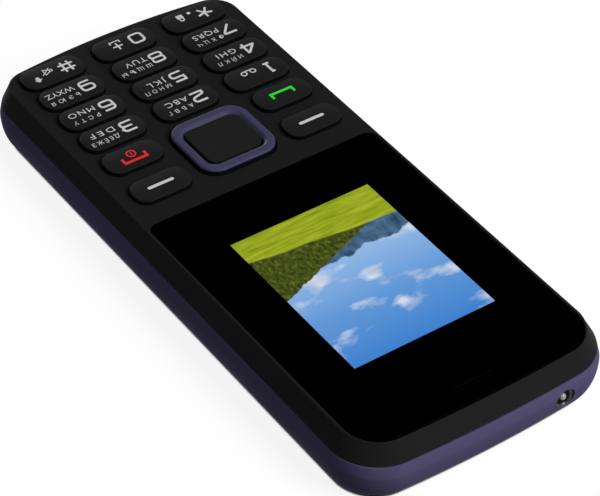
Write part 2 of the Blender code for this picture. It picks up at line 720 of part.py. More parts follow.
def display():
    """The display module with its glass in the housing's opening, and its flex."""
    half_y = (DISPLAY_ABOVE + DISPLAY_BELOW) / 2
    y = DISPLAY_Y + (DISPLAY_ABOVE - DISPLAY_BELOW) / 2
    low = BOARD_TOP_Z + GAP
    high = low + DISPLAY_THICKNESS - GAP
    frame = rounded(DISPLAY_HALF_WIDTH, half_y, DISPLAY_CORNER, 0.0, y)
    module = prism("display_module", frame, low, high, DARK_GLASS)
    fuse(module, prism("display_glass", glass_outline(), low + GAP, GLASS_TOP_Z))
    end = DISPLAY_Y - DISPLAY_BELOW - GAP
    ribbon = rectangle(FLEX_WIDTH / 2, FLEX_LENGTH / 2, 0.0, end - FLEX_LENGTH / 2)
    prism("display_flex", ribbon, low, low + FLEX_THICKNESS, FLEX_AMBER)


def earpiece():
    case = rounded(RECEIVER_LENGTH / 2, RECEIVER_HEIGHT / 2, RECEIVER_HEIGHT / 4, 0.0, EARPIECE_Y - GAP)
    top = WINDOW_PLATE_UNDER_Z - GAP
    prism("earpiece_receiver", case, BOARD_TOP_Z + GAP, top, STEEL)
    strip = rectangle(MESH_LENGTH / 2, MESH_HEIGHT / 2, 0.0, EARPIECE_Y)
    prism("earpiece_mesh", strip, POCKET_Z - MESH_THICKNESS - GAP, POCKET_Z - GAP, STEEL)


def nav_keys():
    """The four-way ring, the rocker under it and the key in its middle."""
    top = FACE_Z + RING_RISE
    lip = rounded(
        RING_HALF_WIDTH + RING_LIP_REACH,
        RING_HALF_HEIGHT + RING_LIP_REACH,
        RING_CORNER + RING_LIP_REACH,
        0.0,
        NAV_Y,
        CORNER_STEPS,
    )
    outer = rounded(RING_HALF_WIDTH, RING_HALF_HEIGHT, RING_CORNER, 0.0, NAV_Y, CORNER_STEPS)
    edge = rounded(
        RING_HALF_WIDTH - RING_EDGE,
        RING_HALF_HEIGHT - RING_EDGE,
        RING_CORNER - RING_EDGE,
        0.0,
        NAV_Y,
        CORNER_STEPS,
    )
    inner = rounded(
        RING_INNER_HALF_WIDTH, RING_INNER_HALF_HEIGHT, RING_INNER_CORNER, 0.0, NAV_Y, CORNER_STEPS
    )
    opening = rounded(
        RING_OPENING_HALF_WIDTH,
        RING_OPENING_HALF_HEIGHT,
        RING_OPENING_CORNER,
        0.0,
        NAV_Y,
        CORNER_STEPS,
    )
    lip_top = RING_UNDER_Z + RING_LIP_THICKNESS
    bm = bmesh.new()
    profile = (
        (opening, RING_UNDER_Z),
        (lip, RING_UNDER_Z),
        (lip, lip_top),
        (outer, lip_top),
        (outer, top - RING_EDGE),
        (edge, top),
        (inner, top),
        (opening, top - RING_DIP),
    )
    rows = [[bm.verts.new(point) for point in level(outline, z)] for outline, z in profile]
    for low, high in zip(rows, rows[1:] + rows[:1]):
        for i in range(len(low)):
            j = (i + 1) % len(low)
            bm.faces.new((low[i], low[j], high[j], high[i]))
    ring = mesh_object("nav_ring", bm, PURPLE_PLASTIC)
    pivot = (0.0, NAV_Y, RING_UNDER_Z)
    set_origin(ring, pivot)

    plate = rounded(ROCKER_HALF_WIDTH, ROCKER_HALF_HEIGHT, ROCKER_CORNER, 0.0, NAV_Y)
    rocker = prism("nav_rocker", plate, ROCKER_Z, ROCKER_Z + ROCKER_THICKNESS, SILICONE)
    hole = circle(ROCKER_OPENING, 0.0, NAV_Y)
    cut(rocker, prism("rocker_hole", hole, ROCKER_Z - OVERRUN, ROCKER_Z + OVERRUN))
    set_origin(rocker, pivot)

    half_x = RING_OPENING_HALF_WIDTH - CENTRE_CLEARANCE
    half_y = RING_OPENING_HALF_HEIGHT - CENTRE_CLEARANCE
    corner = RING_OPENING_CORNER - CENTRE_CLEARANCE
    cap_top = FACE_Z + CENTRE_RISE
    rim = rounded(half_x, half_y, corner, 0.0, NAV_Y)
    softened = rounded(half_x - KEY_EDGE, half_y - KEY_EDGE, corner - KEY_EDGE, 0.0, NAV_Y)
    rings = [level(rim, CENTRE_UNDER_Z), level(rim, cap_top - KEY_EDGE), level(softened, cap_top)]
    centre = loft("key_centre", rings, KEY_PLASTIC)
    stem = circle(CENTRE_STEM_RADIUS, 0.0, NAV_Y)
    foot = MAT_TOP_Z + GAP + KEY_TRAVEL
    fuse(centre, prism("centre_stem", stem, foot, CENTRE_UNDER_Z + GAP))
    set_origin(centre, (0.0, NAV_Y, foot))


def keypad_layers():
    """The silicone mat under the keys and the sheet of domes that click."""
    middle = (MAT_TOP + MAT_BOTTOM) / 2
    half = (MAT_TOP - MAT_BOTTOM) / 2
    sheet = rounded(MAT_HALF_WIDTH, half, MAT_CORNER, 0.0, middle)
    mat = prism("keypad_mat", sheet, MAT_Z, MAT_TOP_Z, SILICONE)
    margin = DOME_SHEET_MARGIN
    film = rounded(MAT_HALF_WIDTH - margin, half - margin, MAT_CORNER, 0.0, middle)
    domes = prism("dome_sheet", film, DOME_Z, DOME_Z + DOME_SHEET_THICKNESS, STEEL)
    reach = SCREW_RADIUS + 2 * GAP + BOSS_WALL
    holes = [circle(reach, *place) for place in screw_places() if place[1] < 0]
    cut(mat, many("mat_holes", holes, MAT_Z - OVERRUN, MAT_TOP_Z + OVERRUN))
    places = list(number_key_places().values()) + list(side_key_places().values())
    for side in (-1, 0, 1):
        places.append((side * RING_INNER_HALF_WIDTH, NAV_Y))
    for side in (-1, 1):
        places.append((0.0, NAV_Y + side * RING_INNER_HALF_HEIGHT))
    bm = bmesh.new()
    for x, y in places:
        foot = circle(DOME_RADIUS, x, y, DOME_STEPS)
        crown = circle(DOME_RADIUS * DOME_TOP_SHARE, x, y, DOME_STEPS)
        low = DOME_Z + DOME_SHEET_THICKNESS / 2
        add_loft(bm, [level(foot, low), level(crown, DOME_Z + DOME_HEIGHT)])
    fuse(domes, mesh_object("domes", bm, STEEL))
    cut(domes, many("dome_sheet_holes", holes, DOME_Z - OVERRUN, DOME_Z + OVERRUN))


def main_board():
    sheet = body_outline(BOARD_INSET, BOARD_INSET, BOARD_INSET)
    board = prism("main_board", sheet, BOARD_UNDER_Z, BOARD_TOP_Z, BOARD_GREEN)
    holes = [circle(SCREW_RADIUS + GAP, *place) for place in screw_places()]
    cut(board, many("board_holes", holes, BOARD_UNDER_Z - OVERRUN, BOARD_TOP_Z + OVERRUN))


def shield_can():
    """A sheet steel can over the radio and processor, open toward the board."""
    shape = rounded(CAN_WIDTH / 2, CAN_LENGTH / 2, CAN_CORNER, CAN_X, CAN_Y)
    low = MOUNT_Z - CAN_HEIGHT
    can = prism("shield_can", shape, low, MOUNT_Z, STEEL)
    wall = CAN_SHEET
    inside = rounded(CAN_WIDTH / 2 - wall, CAN_LENGTH / 2 - wall, CAN_CORNER - wall, CAN_X, CAN_Y)
    cut(can, prism("can_inside", inside, low + wall, MOUNT_Z + OVERRUN))


def card_holder(name, place, width, length):
    """A sheet steel card holder, open at its lower end and over its middle."""
    x, y = place
    low = MOUNT_Z - HOLDER_HEIGHT
    frame = rectangle(width / 2, length / 2, x, y)
    holder = prism(name, frame, low, MOUNT_Z, STEEL)
    inner = width / 2 - HOLDER_SIDE
    slot = rectangle(inner, length / 2, x, y - HOLDER_SIDE)
    cut(holder, prism(name + "_slot", slot, low + HOLDER_ROOF, low + HOLDER_ROOF + CARD_SLOT_HEIGHT))
    view = rectangle(inner - HOLDER_SIDE, length / 4, x, y - length / 4 - HOLDER_SIDE)
    cut(holder, prism(name + "_view", view, low - OVERRUN, low + HOLDER_ROOF + GAP))


def battery_contacts():
    """A block with three sprung noses that reach into the battery's grooves."""
    start = BATTERY_TOP + BAY_CLEARANCE + GAP
    low = MOUNT_Z - CONTACT_HEIGHT
    body = rectangle(CONTACT_WIDTH / 2, CONTACT_LENGTH / 2, 0.0, start + CONTACT_LENGTH / 2)
    block = prism("battery_contacts", body, low, MOUNT_Z, GOLD)
    noses = []
    for k in (-1, 0, 1):
        half = (CONTACT_NOSE + GAP) / 2
        noses.append(rectangle(CONTACT_NOSE_WIDTH / 2, half, k * PAD_PITCH, start + GAP - half))
    nose_low = PAD_FOOT_Z + GAP
    fuse(block, many("contact_noses", noses, nose_low, nose_low + CONTACT_NOSE_HEIGHT))


def along_y(name, outline, start, end, skin=BLACK_PLASTIC):
    """A prism along Y of an outline given in X and Z."""
    rings = [[Vector((x, y, z)) for x, z in outline] for y in (start, end)]
    return loft(name, rings, skin)


def end_reach(x, z, inset, bow):
    """How far the rounded body reaches along Y at (x, z), drawn in by inset all round."""
    turn = math.asin(min((WIDEST_Z - z) / (WIDEST_Z - inset), 1.0))
    rounding = (END_ROUNDING - inset) * (1 - math.cos(turn))
    return BODY_HALF_LENGTH - inset - rounding - bow * (x / (BODY_HALF_WIDTH - inset)) ** 2


def usb_outline(margin=0.0):
    z = MOUNT_Z - USB_HEIGHT / 2
    corner = USB_CORNER + max(margin, 0.0)
    return rounded(USB_WIDTH / 2 + margin, USB_HEIGHT / 2 + margin, corner, 0.0, z)


def usb_socket():
    """A micro-USB shell with a tongue inside."""
    mouth = -end_reach(USB_WIDTH / 2, MOUNT_Z - USB_HEIGHT, REAR_INSET, BOTTOM_BOW)
    shell = along_y("usb_socket", usb_outline(), mouth, mouth + USB_LENGTH, STEEL)
    z = MOUNT_Z - USB_HEIGHT / 2
    half_x = USB_WIDTH / 2 - USB_WALL
    half_z = USB_HEIGHT / 2 - USB_WALL
    inside = rounded(half_x, half_z, USB_CORNER - USB_WALL, 0.0, z)
    cut(shell, along_y("usb_inside", inside, mouth - OVERRUN, mouth + USB_DEPTH))
    tongue = rectangle(half_x - USB_CORNER, USB_WALL / 2, 0.0, z)
    fuse(shell, along_y("usb_tongue", tongue, mouth + USB_WALL, mouth + USB_DEPTH + USB_WALL))


def headphone_socket():
    corner = JACK_X + JACK_BODY_WIDTH / 2
    mouth = -end_reach(corner, MOUNT_Z - JACK_BODY_HEIGHT, REAR_INSET, BOTTOM_BOW)
    z = MOUNT_Z - JACK_BODY_HEIGHT / 2
    body = rectangle(JACK_BODY_WIDTH / 2, JACK_BODY_HEIGHT / 2, JACK_X, z)
    socket = along_y("headphone_socket", body, mouth, mouth + JACK_LENGTH)
    bore = circle(JACK_RADIUS, JACK_X, z)
    cut(socket, along_y("headphone_bore", bore, mouth - OVERRUN, mouth + JACK_DEPTH))


def microphone():
    disc = circle(MIC_RADIUS, MIC_X, MIC_Y)
    prism("microphone", disc, MOUNT_Z - MIC_LENGTH, MOUNT_Z, STEEL)


def vibration_motor():
    """A small motor lying across the phone with its off-centre weight."""
    end = MOTOR_X + MOTOR_LENGTH / 2
    body = turned_along_x("vibration_motor", MOTOR_RADIUS, MOTOR_X - MOTOR_LENGTH / 2, end, STEEL)
    weight_start = end + WEIGHT_GAP
    weight = turned_along_x("motor_weight", WEIGHT_RADIUS, weight_start, weight_start + WEIGHT_LENGTH)
    below = rectangle(WEIGHT_LENGTH, WEIGHT_RADIUS, weight_start, MOTOR_Y - WEIGHT_RADIUS)
    cut(weight, prism("weight_flat", below, MOTOR_Z - MOTOR_RADIUS, MOTOR_Z + MOTOR_RADIUS))
    shaft_end = weight_start + WEIGHT_LENGTH / 2
    shaft = turned_along_x("motor_shaft", MOTOR_SHAFT_RADIUS, end - WEIGHT_GAP, shaft_end)
    fuse(body, shaft, weight)


def turned_along_x(name, radius, start, end, skin=STEEL):
    outline = circle(radius, MOTOR_Y, MOTOR_Z)
    return loft(name, [[Vector((x, y, z)) for y, z in outline] for x in (start, end)], skin)


def loudspeaker():
    """The ringing loudspeaker, its cone drawn in behind a rim."""
    low = REAR_BACK_Z + GAP
    case = rounded(SPEAKER_WIDTH / 2, SPEAKER_LENGTH / 2, SPEAKER_CORNER, SPEAKER_X, SPEAKER_Y)
    speaker = prism("loudspeaker", case, low, low + SPEAKER_THICKNESS)
    inner = SPEAKER_CONE_MARGIN
    cone = rounded(
        SPEAKER_WIDTH / 2 - inner, SPEAKER_LENGTH / 2 - inner, SPEAKER_CORNER, SPEAKER_X, SPEAKER_Y
    )
    cut(speaker, prism("speaker_cone", cone, low - OVERRUN, low + SPEAKER_CONE_DEPTH))


def camera():
    """The camera module on the board and its window in the cover."""
    place = (CAMERA_X, CAMERA_Y)
    low = MOUNT_Z - CAMERA_HEIGHT
    half = CAMERA_WIDTH / 2
    module = prism("camera_module", rounded(half, half, CAN_CORNER, *place), low, MOUNT_Z)
    barrel = circle(CAMERA_LENS_RADIUS, *place)
    fuse(module, prism("camera_barrel", barrel, low - CAMERA_LENS_HEIGHT, low + GAP))
    pane = circle(CAMERA_WINDOW_RADIUS, *place)
    high = CAMERA_WINDOW_SINK + CAMERA_WINDOW_THICKNESS
    prism("camera_window", pane, CAMERA_WINDOW_SINK, high, LENS_GLASS)


def torch():
    """The torch's LED, lying behind the hole in the upper end."""
    corner = TORCH_X - TORCH_LED_RADIUS
    tip = end_reach(corner, TORCH_Z - TORCH_LED_RADIUS, REAR_INSET, TOP_BOW)
    profile = (
        (TORCH_LED_RADIUS, tip - TORCH_LED_LENGTH),
        (TORCH_LED_RADIUS, tip - TORCH_LED_TIP),
        (TORCH_LED_RADIUS * TORCH_TIP_SHARES[0], tip - TORCH_LED_TIP * TORCH_TIP_SHARES[1]),
        (TORCH_LED_RADIUS * TORCH_TIP_SHARES[1], tip),
    )
    rings = []
    for radius, y in profile:
        rings.append([Vector((x, y, z)) for x, z in circle(radius, TORCH_X, TORCH_Z)])
    loft("torch_led", rings, LED_CLEAR)


def antenna():
    low = REAR_BACK_Z + GAP
    plate = rounded(ANTENNA_WIDTH / 2, ANTENNA_LENGTH / 2, CAN_CORNER, ANTENNA_X, ANTENNA_Y)
    prism("antenna", plate, low, low + ANTENNA_THICKNESS, GOLD)


def screws():
    """Four screws, driven in from the back through the board into the front's bosses."""
    seat = REAR_BACK_Z + SCREW_SINK - GAP
    for k, place in enumerate(screw_places()):
        head = circle(SCREW_HEAD_RADIUS, *place, SCREW_STEPS)
        screw = prism(f"screw_{k + 1}", head, seat - SCREW_HEAD_HEIGHT, seat, STEEL)
        shank = circle(SCREW_RADIUS, *place, SCREW_STEPS)
        fuse(screw, prism(f"shank_{k + 1}", shank, seat - GAP, BOSS_END_Z + SCREW_BITE))


def bay_outline(margin=0.0):
    y = BATTERY_TOP - BATTERY_LENGTH / 2
    return rounded(
        BATTERY_WIDTH / 2 + margin, BATTERY_LENGTH / 2 + margin, BATTERY_CORNER + margin, 0.0, y
    )


def rear_housing():
    """The inner rear moulding: bay, recesses and pockets for what the board carries."""
    rings = lower_rings(REAR_INSET, REAR_BACK_Z)
    rings.append(upper_ring(REAR_RIM_Z, REAR_INSET))
    tub = loft("rear_housing", rings)
    cavity = body_outline(CAVITY_INSET, CAVITY_INSET, CAVITY_INSET)
    cut(tub, prism("board_cavity", cavity, FLOOR_TOP_Z, SEAM_Z + OVERRUN))
    below = REAR_BACK_Z - OVERRUN
    bay = bay_outline(BAY_CLEARANCE)
    cut(tub, prism("battery_bay", bay, below, FLOOR_UNDER_Z))
    card_half = SIM_X + SIM_WIDTH / 2 + CARD_RECESS_MARGIN
    recess = rectangle(card_half, SIM_LENGTH / 2 + CARD_RECESS_MARGIN, 0.0, SIM_Y)
    memory = rectangle(
        MEMORY_WIDTH / 2 + CARD_RECESS_MARGIN,
        MEMORY_LENGTH / 2 + CARD_RECESS_MARGIN,
        MEMORY_X,
        MEMORY_Y,
    )
    antenna_bed = rectangle(
        ANTENNA_WIDTH / 2 + GAP, ANTENNA_LENGTH / 2 + GAP, ANTENNA_X, ANTENNA_Y
    )
    cut(tub, many("card_recesses", [recess, memory], below, FLOOR_UNDER_Z))
    bed_top = REAR_BACK_Z + 2 * GAP + ANTENNA_THICKNESS
    cut(tub, prism("antenna_bed", antenna_bed, below, bed_top))
    above = FLOOR_TOP_Z + OVERRUN
    windows = [
        rectangle(SIM_WIDTH / 2 + GAP, SIM_LENGTH / 2 + GAP, side * SIM_X, SIM_Y) for side in (-1, 1)
    ]
    windows.append(
        rectangle(MEMORY_WIDTH / 2 + GAP, MEMORY_LENGTH / 2 + GAP, MEMORY_X, MEMORY_Y)
    )
    cut(tub, many("card_windows", windows, FLOOR_UNDER_Z - GAP, above))
    pockets = []
    for side in (-1, 1):
        half_x = (POCKET_OUTER_X - POCKET_INNER_X) / 2
        half_y = (POCKET_TOP - POCKET_BOTTOM) / 2
        x = side * (POCKET_OUTER_X + POCKET_INNER_X) / 2
        pockets.append(rectangle(half_x, half_y, x, (POCKET_TOP + POCKET_BOTTOM) / 2))
    cut(tub, many("side_pockets", pockets, POCKET_FLOOR, above))
    rear_sockets(tub, below, above)
    seats = [circle(SCREW_HEAD_RADIUS + GAP, *place) for place in screw_places()]
    cut(tub, many("screw_seats", seats, below, REAR_BACK_Z + SCREW_SINK))
    holes = [circle(SCREW_RADIUS + GAP, *place) for place in screw_places()]
    cut(tub, many("rear_screw_holes", holes, below, above))


def rear_sockets(tub, below, above):
    """Pockets for the speaker, camera, can, motor, contacts, torch, sockets and microphone."""
    speaker = rounded(
        SPEAKER_WIDTH / 2 + GAP, SPEAKER_LENGTH / 2 + GAP, SPEAKER_CORNER + GAP, SPEAKER_X, SPEAKER_Y
    )
    speaker_top = REAR_BACK_Z + SPEAKER_THICKNESS + 2 * GAP
    cut(tub, prism("speaker_pocket", speaker, below, speaker_top))
    half = CAMERA_WIDTH / 2 + GAP
    cut(tub, prism("camera_hole", rectangle(half, half, CAMERA_X, CAMERA_Y), below, above))
    can = rectangle(CAN_WIDTH / 2 + GAP, CAN_LENGTH / 2 + GAP, CAN_X, CAN_Y)
    cut(tub, prism("can_pocket", can, MOUNT_Z - CAN_HEIGHT - GAP, above))
    motor_start = MOTOR_X - MOTOR_LENGTH / 2 - GAP
    motor = rectangle(
        (MOTOR_POCKET_END - motor_start) / 2,
        MOTOR_RADIUS + GAP,
        (MOTOR_POCKET_END + motor_start) / 2,
        MOTOR_Y,
    )
    cut(tub, prism("motor_pocket", motor, MOTOR_Z - MOTOR_RADIUS - GAP, above))
    bay_end = BATTERY_TOP + BAY_CLEARANCE
    contact_end = bay_end + CONTACT_LENGTH + 2 * GAP
    contact_start = bay_end - BAY_CLEARANCE
    contacts = rectangle(
        CONTACT_WIDTH / 2 + GAP,
        (contact_end - contact_start) / 2,
        0.0,
        (contact_end + contact_start) / 2,
    )
    cut(tub, prism("contact_pocket", contacts, MOUNT_Z - CONTACT_HEIGHT - GAP, above))
    corner = TORCH_X - TORCH_LED_RADIUS
    tip = end_reach(corner, TORCH_Z - TORCH_LED_RADIUS, REAR_INSET, TOP_BOW)
    torch_start = tip - TORCH_LED_LENGTH - GAP
    half_y = (BODY_HALF_LENGTH - torch_start) / 2
    torch_bed = rectangle(TORCH_LED_RADIUS + GAP, half_y, TORCH_X, torch_start + half_y)
    cut(tub, prism("torch_bed", torch_bed, TORCH_Z - TORCH_LED_RADIUS - GAP, above))
    mouth = -BODY_HALF_LENGTH
    usb_mouth = -end_reach(USB_WIDTH / 2, MOUNT_Z - USB_HEIGHT, REAR_INSET, BOTTOM_BOW)
    usb_end = usb_mouth + USB_LENGTH + GAP
    usb = rectangle(USB_WIDTH / 2 + GAP, (usb_end - mouth) / 2, 0.0, (usb_end + mouth) / 2)
    cut(tub, prism("usb_bed", usb, MOUNT_Z - USB_HEIGHT - GAP, above))
    corner = JACK_X + JACK_BODY_WIDTH / 2
    jack_mouth = -end_reach(corner, MOUNT_Z - JACK_BODY_HEIGHT, REAR_INSET, BOTTOM_BOW)
    jack_end = jack_mouth + JACK_LENGTH + GAP
    jack = rectangle(
        JACK_BODY_WIDTH / 2 + GAP, (jack_end - mouth) / 2, JACK_X, (jack_end + mouth) / 2
    )
    cut(tub, prism("jack_bed", jack, MOUNT_Z - JACK_BODY_HEIGHT - GAP, above))
    mic_low = MOUNT_Z - MIC_LENGTH - GAP
    cut(tub, prism("mic_bed", circle(MIC_RADIUS + GAP, MIC_X, MIC_Y), mic_low, above))
    channel = rectangle(MIC_HOLE_RADIUS, (MIC_Y - mouth) / 2, MIC_X, (MIC_Y + mouth) / 2)
    cut(tub, prism("mic_channel", channel, mic_low, above))


def battery():
    low = REAR_BACK_Z
    place = (0.0, BATTERY_TOP - BATTERY_LENGTH / 2)
    size = (BATTERY_WIDTH, BATTERY_LENGTH)
    pack = chamfered(
        "battery", size, BATTERY_CORNER, BATTERY_EDGE, place, low, low + BATTERY_THICKNESS, BATTERY_WRAP
    )
    grooves = []
    for k in (-1, 0, 1):
        grooves.append(rectangle(PAD_WIDTH / 2, PAD_DEPTH, k * PAD_PITCH, BATTERY_TOP))
    cut(pack, many("battery_grooves", grooves, PAD_FOOT_Z, low + BATTERY_THICKNESS + OVERRUN))
    set_origin(pack, (*place, low))


def battery_cover():
    """The coloured shell that wraps the back, sides and ends."""
    rings = lower_rings(0.0, 0.0)
    rings.append(upper_ring(COVER_RIM_Z))
    shell = loft("battery_cover", rings, PURPLE_PLASTIC)
    inner = lower_rings(COVER_WALL, COVER_WALL)
    rim = upper_ring(COVER_RIM_Z, COVER_WALL)
    inner.append([point + Vector((0.0, 0.0, OVERRUN)) for point in rim])
    cut(shell, loft("cover_hollow", inner))
    outside = BODY_HALF_LENGTH + OVERRUN
    inside = BODY_HALF_LENGTH - END_ROUNDING
    torch_hole = circle(TORCH_RADIUS, TORCH_X, TORCH_Z)
    cut(shell, along_y("torch_hole", torch_hole, inside, outside))
    usb = usb_outline(USB_OPENING_MARGIN)
    cut(shell, along_y("usb_opening", usb, -outside, -inside))
    jack_z = MOUNT_Z - JACK_BODY_HEIGHT / 2
    jack = circle(JACK_RADIUS + JACK_OPENING_MARGIN, JACK_X, jack_z)
    cut(shell, along_y("jack_opening", jack, -outside, -inside))
    mic = circle(MIC_HOLE_RADIUS, MIC_X, MOUNT_Z - MIC_LENGTH / 2, SCREW_STEPS)
    cut(shell, along_y("mic_hole", mic, -outside, -inside))
    notch = rectangle(NOTCH_WIDTH / 2, OVERRUN + COVER_WALL, NOTCH_X, -BODY_HALF_LENGTH)
    cut(shell, prism("pry_notch", notch, COVER_RIM_Z - NOTCH_DEPTH, COVER_RIM_Z + OVERRUN))
    slots = []
    for k in range(SLOT_COUNT):
        y = SPEAKER_Y + (k - (SLOT_COUNT - 1) / 2) * SLOT_PITCH
        slots.append(rounded(SLOT_LENGTH / 2, SLOT_WIDTH / 2, SLOT_WIDTH / 2, SPEAKER_X, y, 3))
    cut(shell, many("speaker_slots", slots, -OVERRUN, COVER_WALL + OVERRUN))
    seat = circle(CAMERA_WINDOW_RADIUS + GAP, CAMERA_X, CAMERA_Y)
    seat_top = CAMERA_WINDOW_SINK + CAMERA_WINDOW_THICKNESS + GAP
    cut(shell, prism("window_seat", seat, -OVERRUN, seat_top))
    sight = circle(CAMERA_SIGHT_RADIUS, CAMERA_X, CAMERA_Y)
    cut(shell, prism("camera_sight", sight, seat_top - GAP, COVER_WALL + OVERRUN))


def build():
    front_housing()
    display_window()
    display()
    earpiece()
    keys()
    nav_keys()
    keypad_layers()
    main_board()
    shield_can()
    card_holder("sim_holder_1", (-SIM_X, SIM_Y), SIM_WIDTH, SIM_LENGTH)
    card_holder("sim_holder_2", (SIM_X, SIM_Y), SIM_WIDTH, SIM_LENGTH)
    card_holder("memory_card_holder", (MEMORY_X, MEMORY_Y), MEMORY_WIDTH, MEMORY_LENGTH)
    battery_contacts()
    usb_socket()
    headphone_socket()
    microphone()
    vibration_motor()
    loudspeaker()
    camera()
    torch()
    antenna()
    screws()
    rear_housing()
    battery()
    battery_cover()


build()
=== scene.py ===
import math

import bmesh
import bpy
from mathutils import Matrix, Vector

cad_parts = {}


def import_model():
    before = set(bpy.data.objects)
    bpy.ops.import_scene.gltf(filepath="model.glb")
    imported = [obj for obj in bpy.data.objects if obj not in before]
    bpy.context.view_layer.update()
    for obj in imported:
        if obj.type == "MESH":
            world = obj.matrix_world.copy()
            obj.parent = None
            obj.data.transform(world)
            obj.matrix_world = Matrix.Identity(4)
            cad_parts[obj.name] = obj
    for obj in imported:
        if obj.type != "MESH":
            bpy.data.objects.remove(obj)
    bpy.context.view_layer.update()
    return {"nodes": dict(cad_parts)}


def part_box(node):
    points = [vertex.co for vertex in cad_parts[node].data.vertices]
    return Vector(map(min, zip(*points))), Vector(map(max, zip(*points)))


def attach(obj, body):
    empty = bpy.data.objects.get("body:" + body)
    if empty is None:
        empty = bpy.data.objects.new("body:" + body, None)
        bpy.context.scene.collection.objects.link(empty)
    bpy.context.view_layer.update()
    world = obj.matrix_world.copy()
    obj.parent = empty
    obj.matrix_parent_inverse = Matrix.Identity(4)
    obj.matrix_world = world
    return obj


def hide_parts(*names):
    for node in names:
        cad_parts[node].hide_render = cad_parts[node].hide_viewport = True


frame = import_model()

# The part's own sizes, in metres
GAP = 0.0003
OVERRUN = 0.001
BODY_HALF_WIDTH = 0.0259
BODY_LENGTH = 0.1167
BODY_HALF_LENGTH = BODY_LENGTH / 2
TOP_CORNER = 0.0088
BOTTOM_CORNER = 0.0064
TOP_BOW = 0.0011
BOTTOM_BOW = 0.0018
LEAST_CORNER = 0.0012
FACE_Z = 0.0120
WIDEST_Z = 0.0068
SEAM_Z = 0.0087
FACE_EDGE = 0.0004
FACE_ROUNDING = 0.00035
SLOPE_FOOT_Z = FACE_Z - FACE_EDGE
SIDE_LEAN = 0.00205
TOP_LEAN = 0.0024
BOTTOM_LEAN = 0.0014
SEAM_LEAN_SHARE = 0.22
SIDE_ROUNDING = 0.0031
END_ROUNDING = 0.0039
FRONT_WALL = 0.0012
FACE_PLATE = 0.0012
WINDOW_PLATE = 0.0020
COVER_WALL = 0.0012
SEAM = 0.00025
COVER_RIM_Z = SEAM_Z - SEAM
PLATE_UNDER_Z = FACE_Z - FACE_PLATE
WINDOW_PLATE_UNDER_Z = FACE_Z - WINDOW_PLATE
WINDOW_SIDE = 0.0030
WINDOW_END = 0.0031
WINDOW_HALF_WIDTH = BODY_HALF_WIDTH - WINDOW_SIDE
WINDOW_TOP = BODY_HALF_LENGTH - WINDOW_END
WINDOW_BOTTOM_SHARE = 0.13
WINDOW_BOTTOM = -BODY_HALF_LENGTH * WINDOW_BOTTOM_SHARE
WINDOW_TOP_CORNER = 0.0058
WINDOW_BOW = 0.0008
WINDOW_THICKNESS = 0.0009
WINDOW_GAP = 0.00025
WINDOW_UNDER_Z = FACE_Z - WINDOW_THICKNESS
POCKET_Z = WINDOW_UNDER_Z - GAP
DISPLAY_SHARE = 0.3676
DISPLAY_Y = BODY_HALF_LENGTH * DISPLAY_SHARE
EARPIECE_DROP = 0.0037
EARPIECE_Y = WINDOW_TOP - EARPIECE_DROP
EARPIECE_SLOT = 0.0082
EARPIECE_SLOT_HEIGHT = 0.0007
KEY_SIDE = 0.004825
KEY_FIELD_HALF_WIDTH = BODY_HALF_WIDTH - KEY_SIDE
KEY_BETWEEN = 0.00285
KEY_ROW_BETWEEN = 0.00107
KEY_WIDTH = (2 * KEY_FIELD_HALF_WIDTH - 2 * KEY_BETWEEN) / 3
KEY_RISE = 0.0008
KEY_CROWN = 0.00015
KEY_COLUMN = KEY_WIDTH + KEY_BETWEEN
NAV_SHARE = 0.33
NAV_Y = -BODY_HALF_LENGTH * NAV_SHARE
FIRST_ROW_SHARE = 0.533
LAST_ROW_END = 0.0068
FIRST_ROW_Y = -BODY_HALF_LENGTH * FIRST_ROW_SHARE
LAST_ROW_Y = LAST_ROW_END - BODY_HALF_LENGTH
KEY_ROW = (FIRST_ROW_Y - LAST_ROW_Y) / 3
KEY_HEIGHT = KEY_ROW - KEY_ROW_BETWEEN
KEY_CORNER_SHARE = 0.417
KEY_CORNER = KEY_HEIGHT * KEY_CORNER_SHARE
SOFT_INNER_X = 0.0101
SOFT_WIDTH = KEY_FIELD_HALF_WIDTH - SOFT_INNER_X
SOFT_X = (KEY_FIELD_HALF_WIDTH + SOFT_INNER_X) / 2
SIDE_KEYS_BETWEEN = 0.00315
SIDE_KEYS_DROP = 0.0001
SIDE_KEYS_Y = NAV_Y - SIDE_KEYS_DROP
SOFT_Y = SIDE_KEYS_Y + (KEY_HEIGHT + SIDE_KEYS_BETWEEN) / 2
CALL_Y = SIDE_KEYS_Y - (KEY_HEIGHT + SIDE_KEYS_BETWEEN) / 2
EAR_REACH = 0.0007
EAR_THICKNESS = 0.0005
EAR_SHARE = 0.62
EAR_HEIGHT = KEY_HEIGHT * EAR_SHARE
EAR_TOP_Z = PLATE_UNDER_Z - GAP
KEY_UNDER_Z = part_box("key_1")[0][2]
RING_HALF_WIDTH = 0.00765
RING_HEIGHT_SHARE = 1.27
RING_HALF_HEIGHT = KEY_HEIGHT * RING_HEIGHT_SHARE
RING_CORNER = 0.0036
RING_RISE = 0.0011
RING_FLAT_WIDTH = 0.00125
RING_FLAT_HEIGHT = 0.00145
RING_SLOPE_WIDTH = 0.00075
RING_SLOPE_HEIGHT = 0.0008
RING_INNER_HALF_WIDTH = RING_HALF_WIDTH - RING_FLAT_WIDTH
RING_INNER_HALF_HEIGHT = RING_HALF_HEIGHT - RING_FLAT_HEIGHT
RING_INNER_CORNER = 0.0025
RING_OPENING_HALF_WIDTH = RING_INNER_HALF_WIDTH - RING_SLOPE_WIDTH
RING_OPENING_HALF_HEIGHT = RING_INNER_HALF_HEIGHT - RING_SLOPE_HEIGHT
RING_OPENING_CORNER = 0.0018
RING_DIP = 0.0007
RING_EDGE = 0.00025
RING_LIP_REACH = 0.0006
RING_LIP_THICKNESS = 0.0004
TILT_CLEARANCE = 0.00035
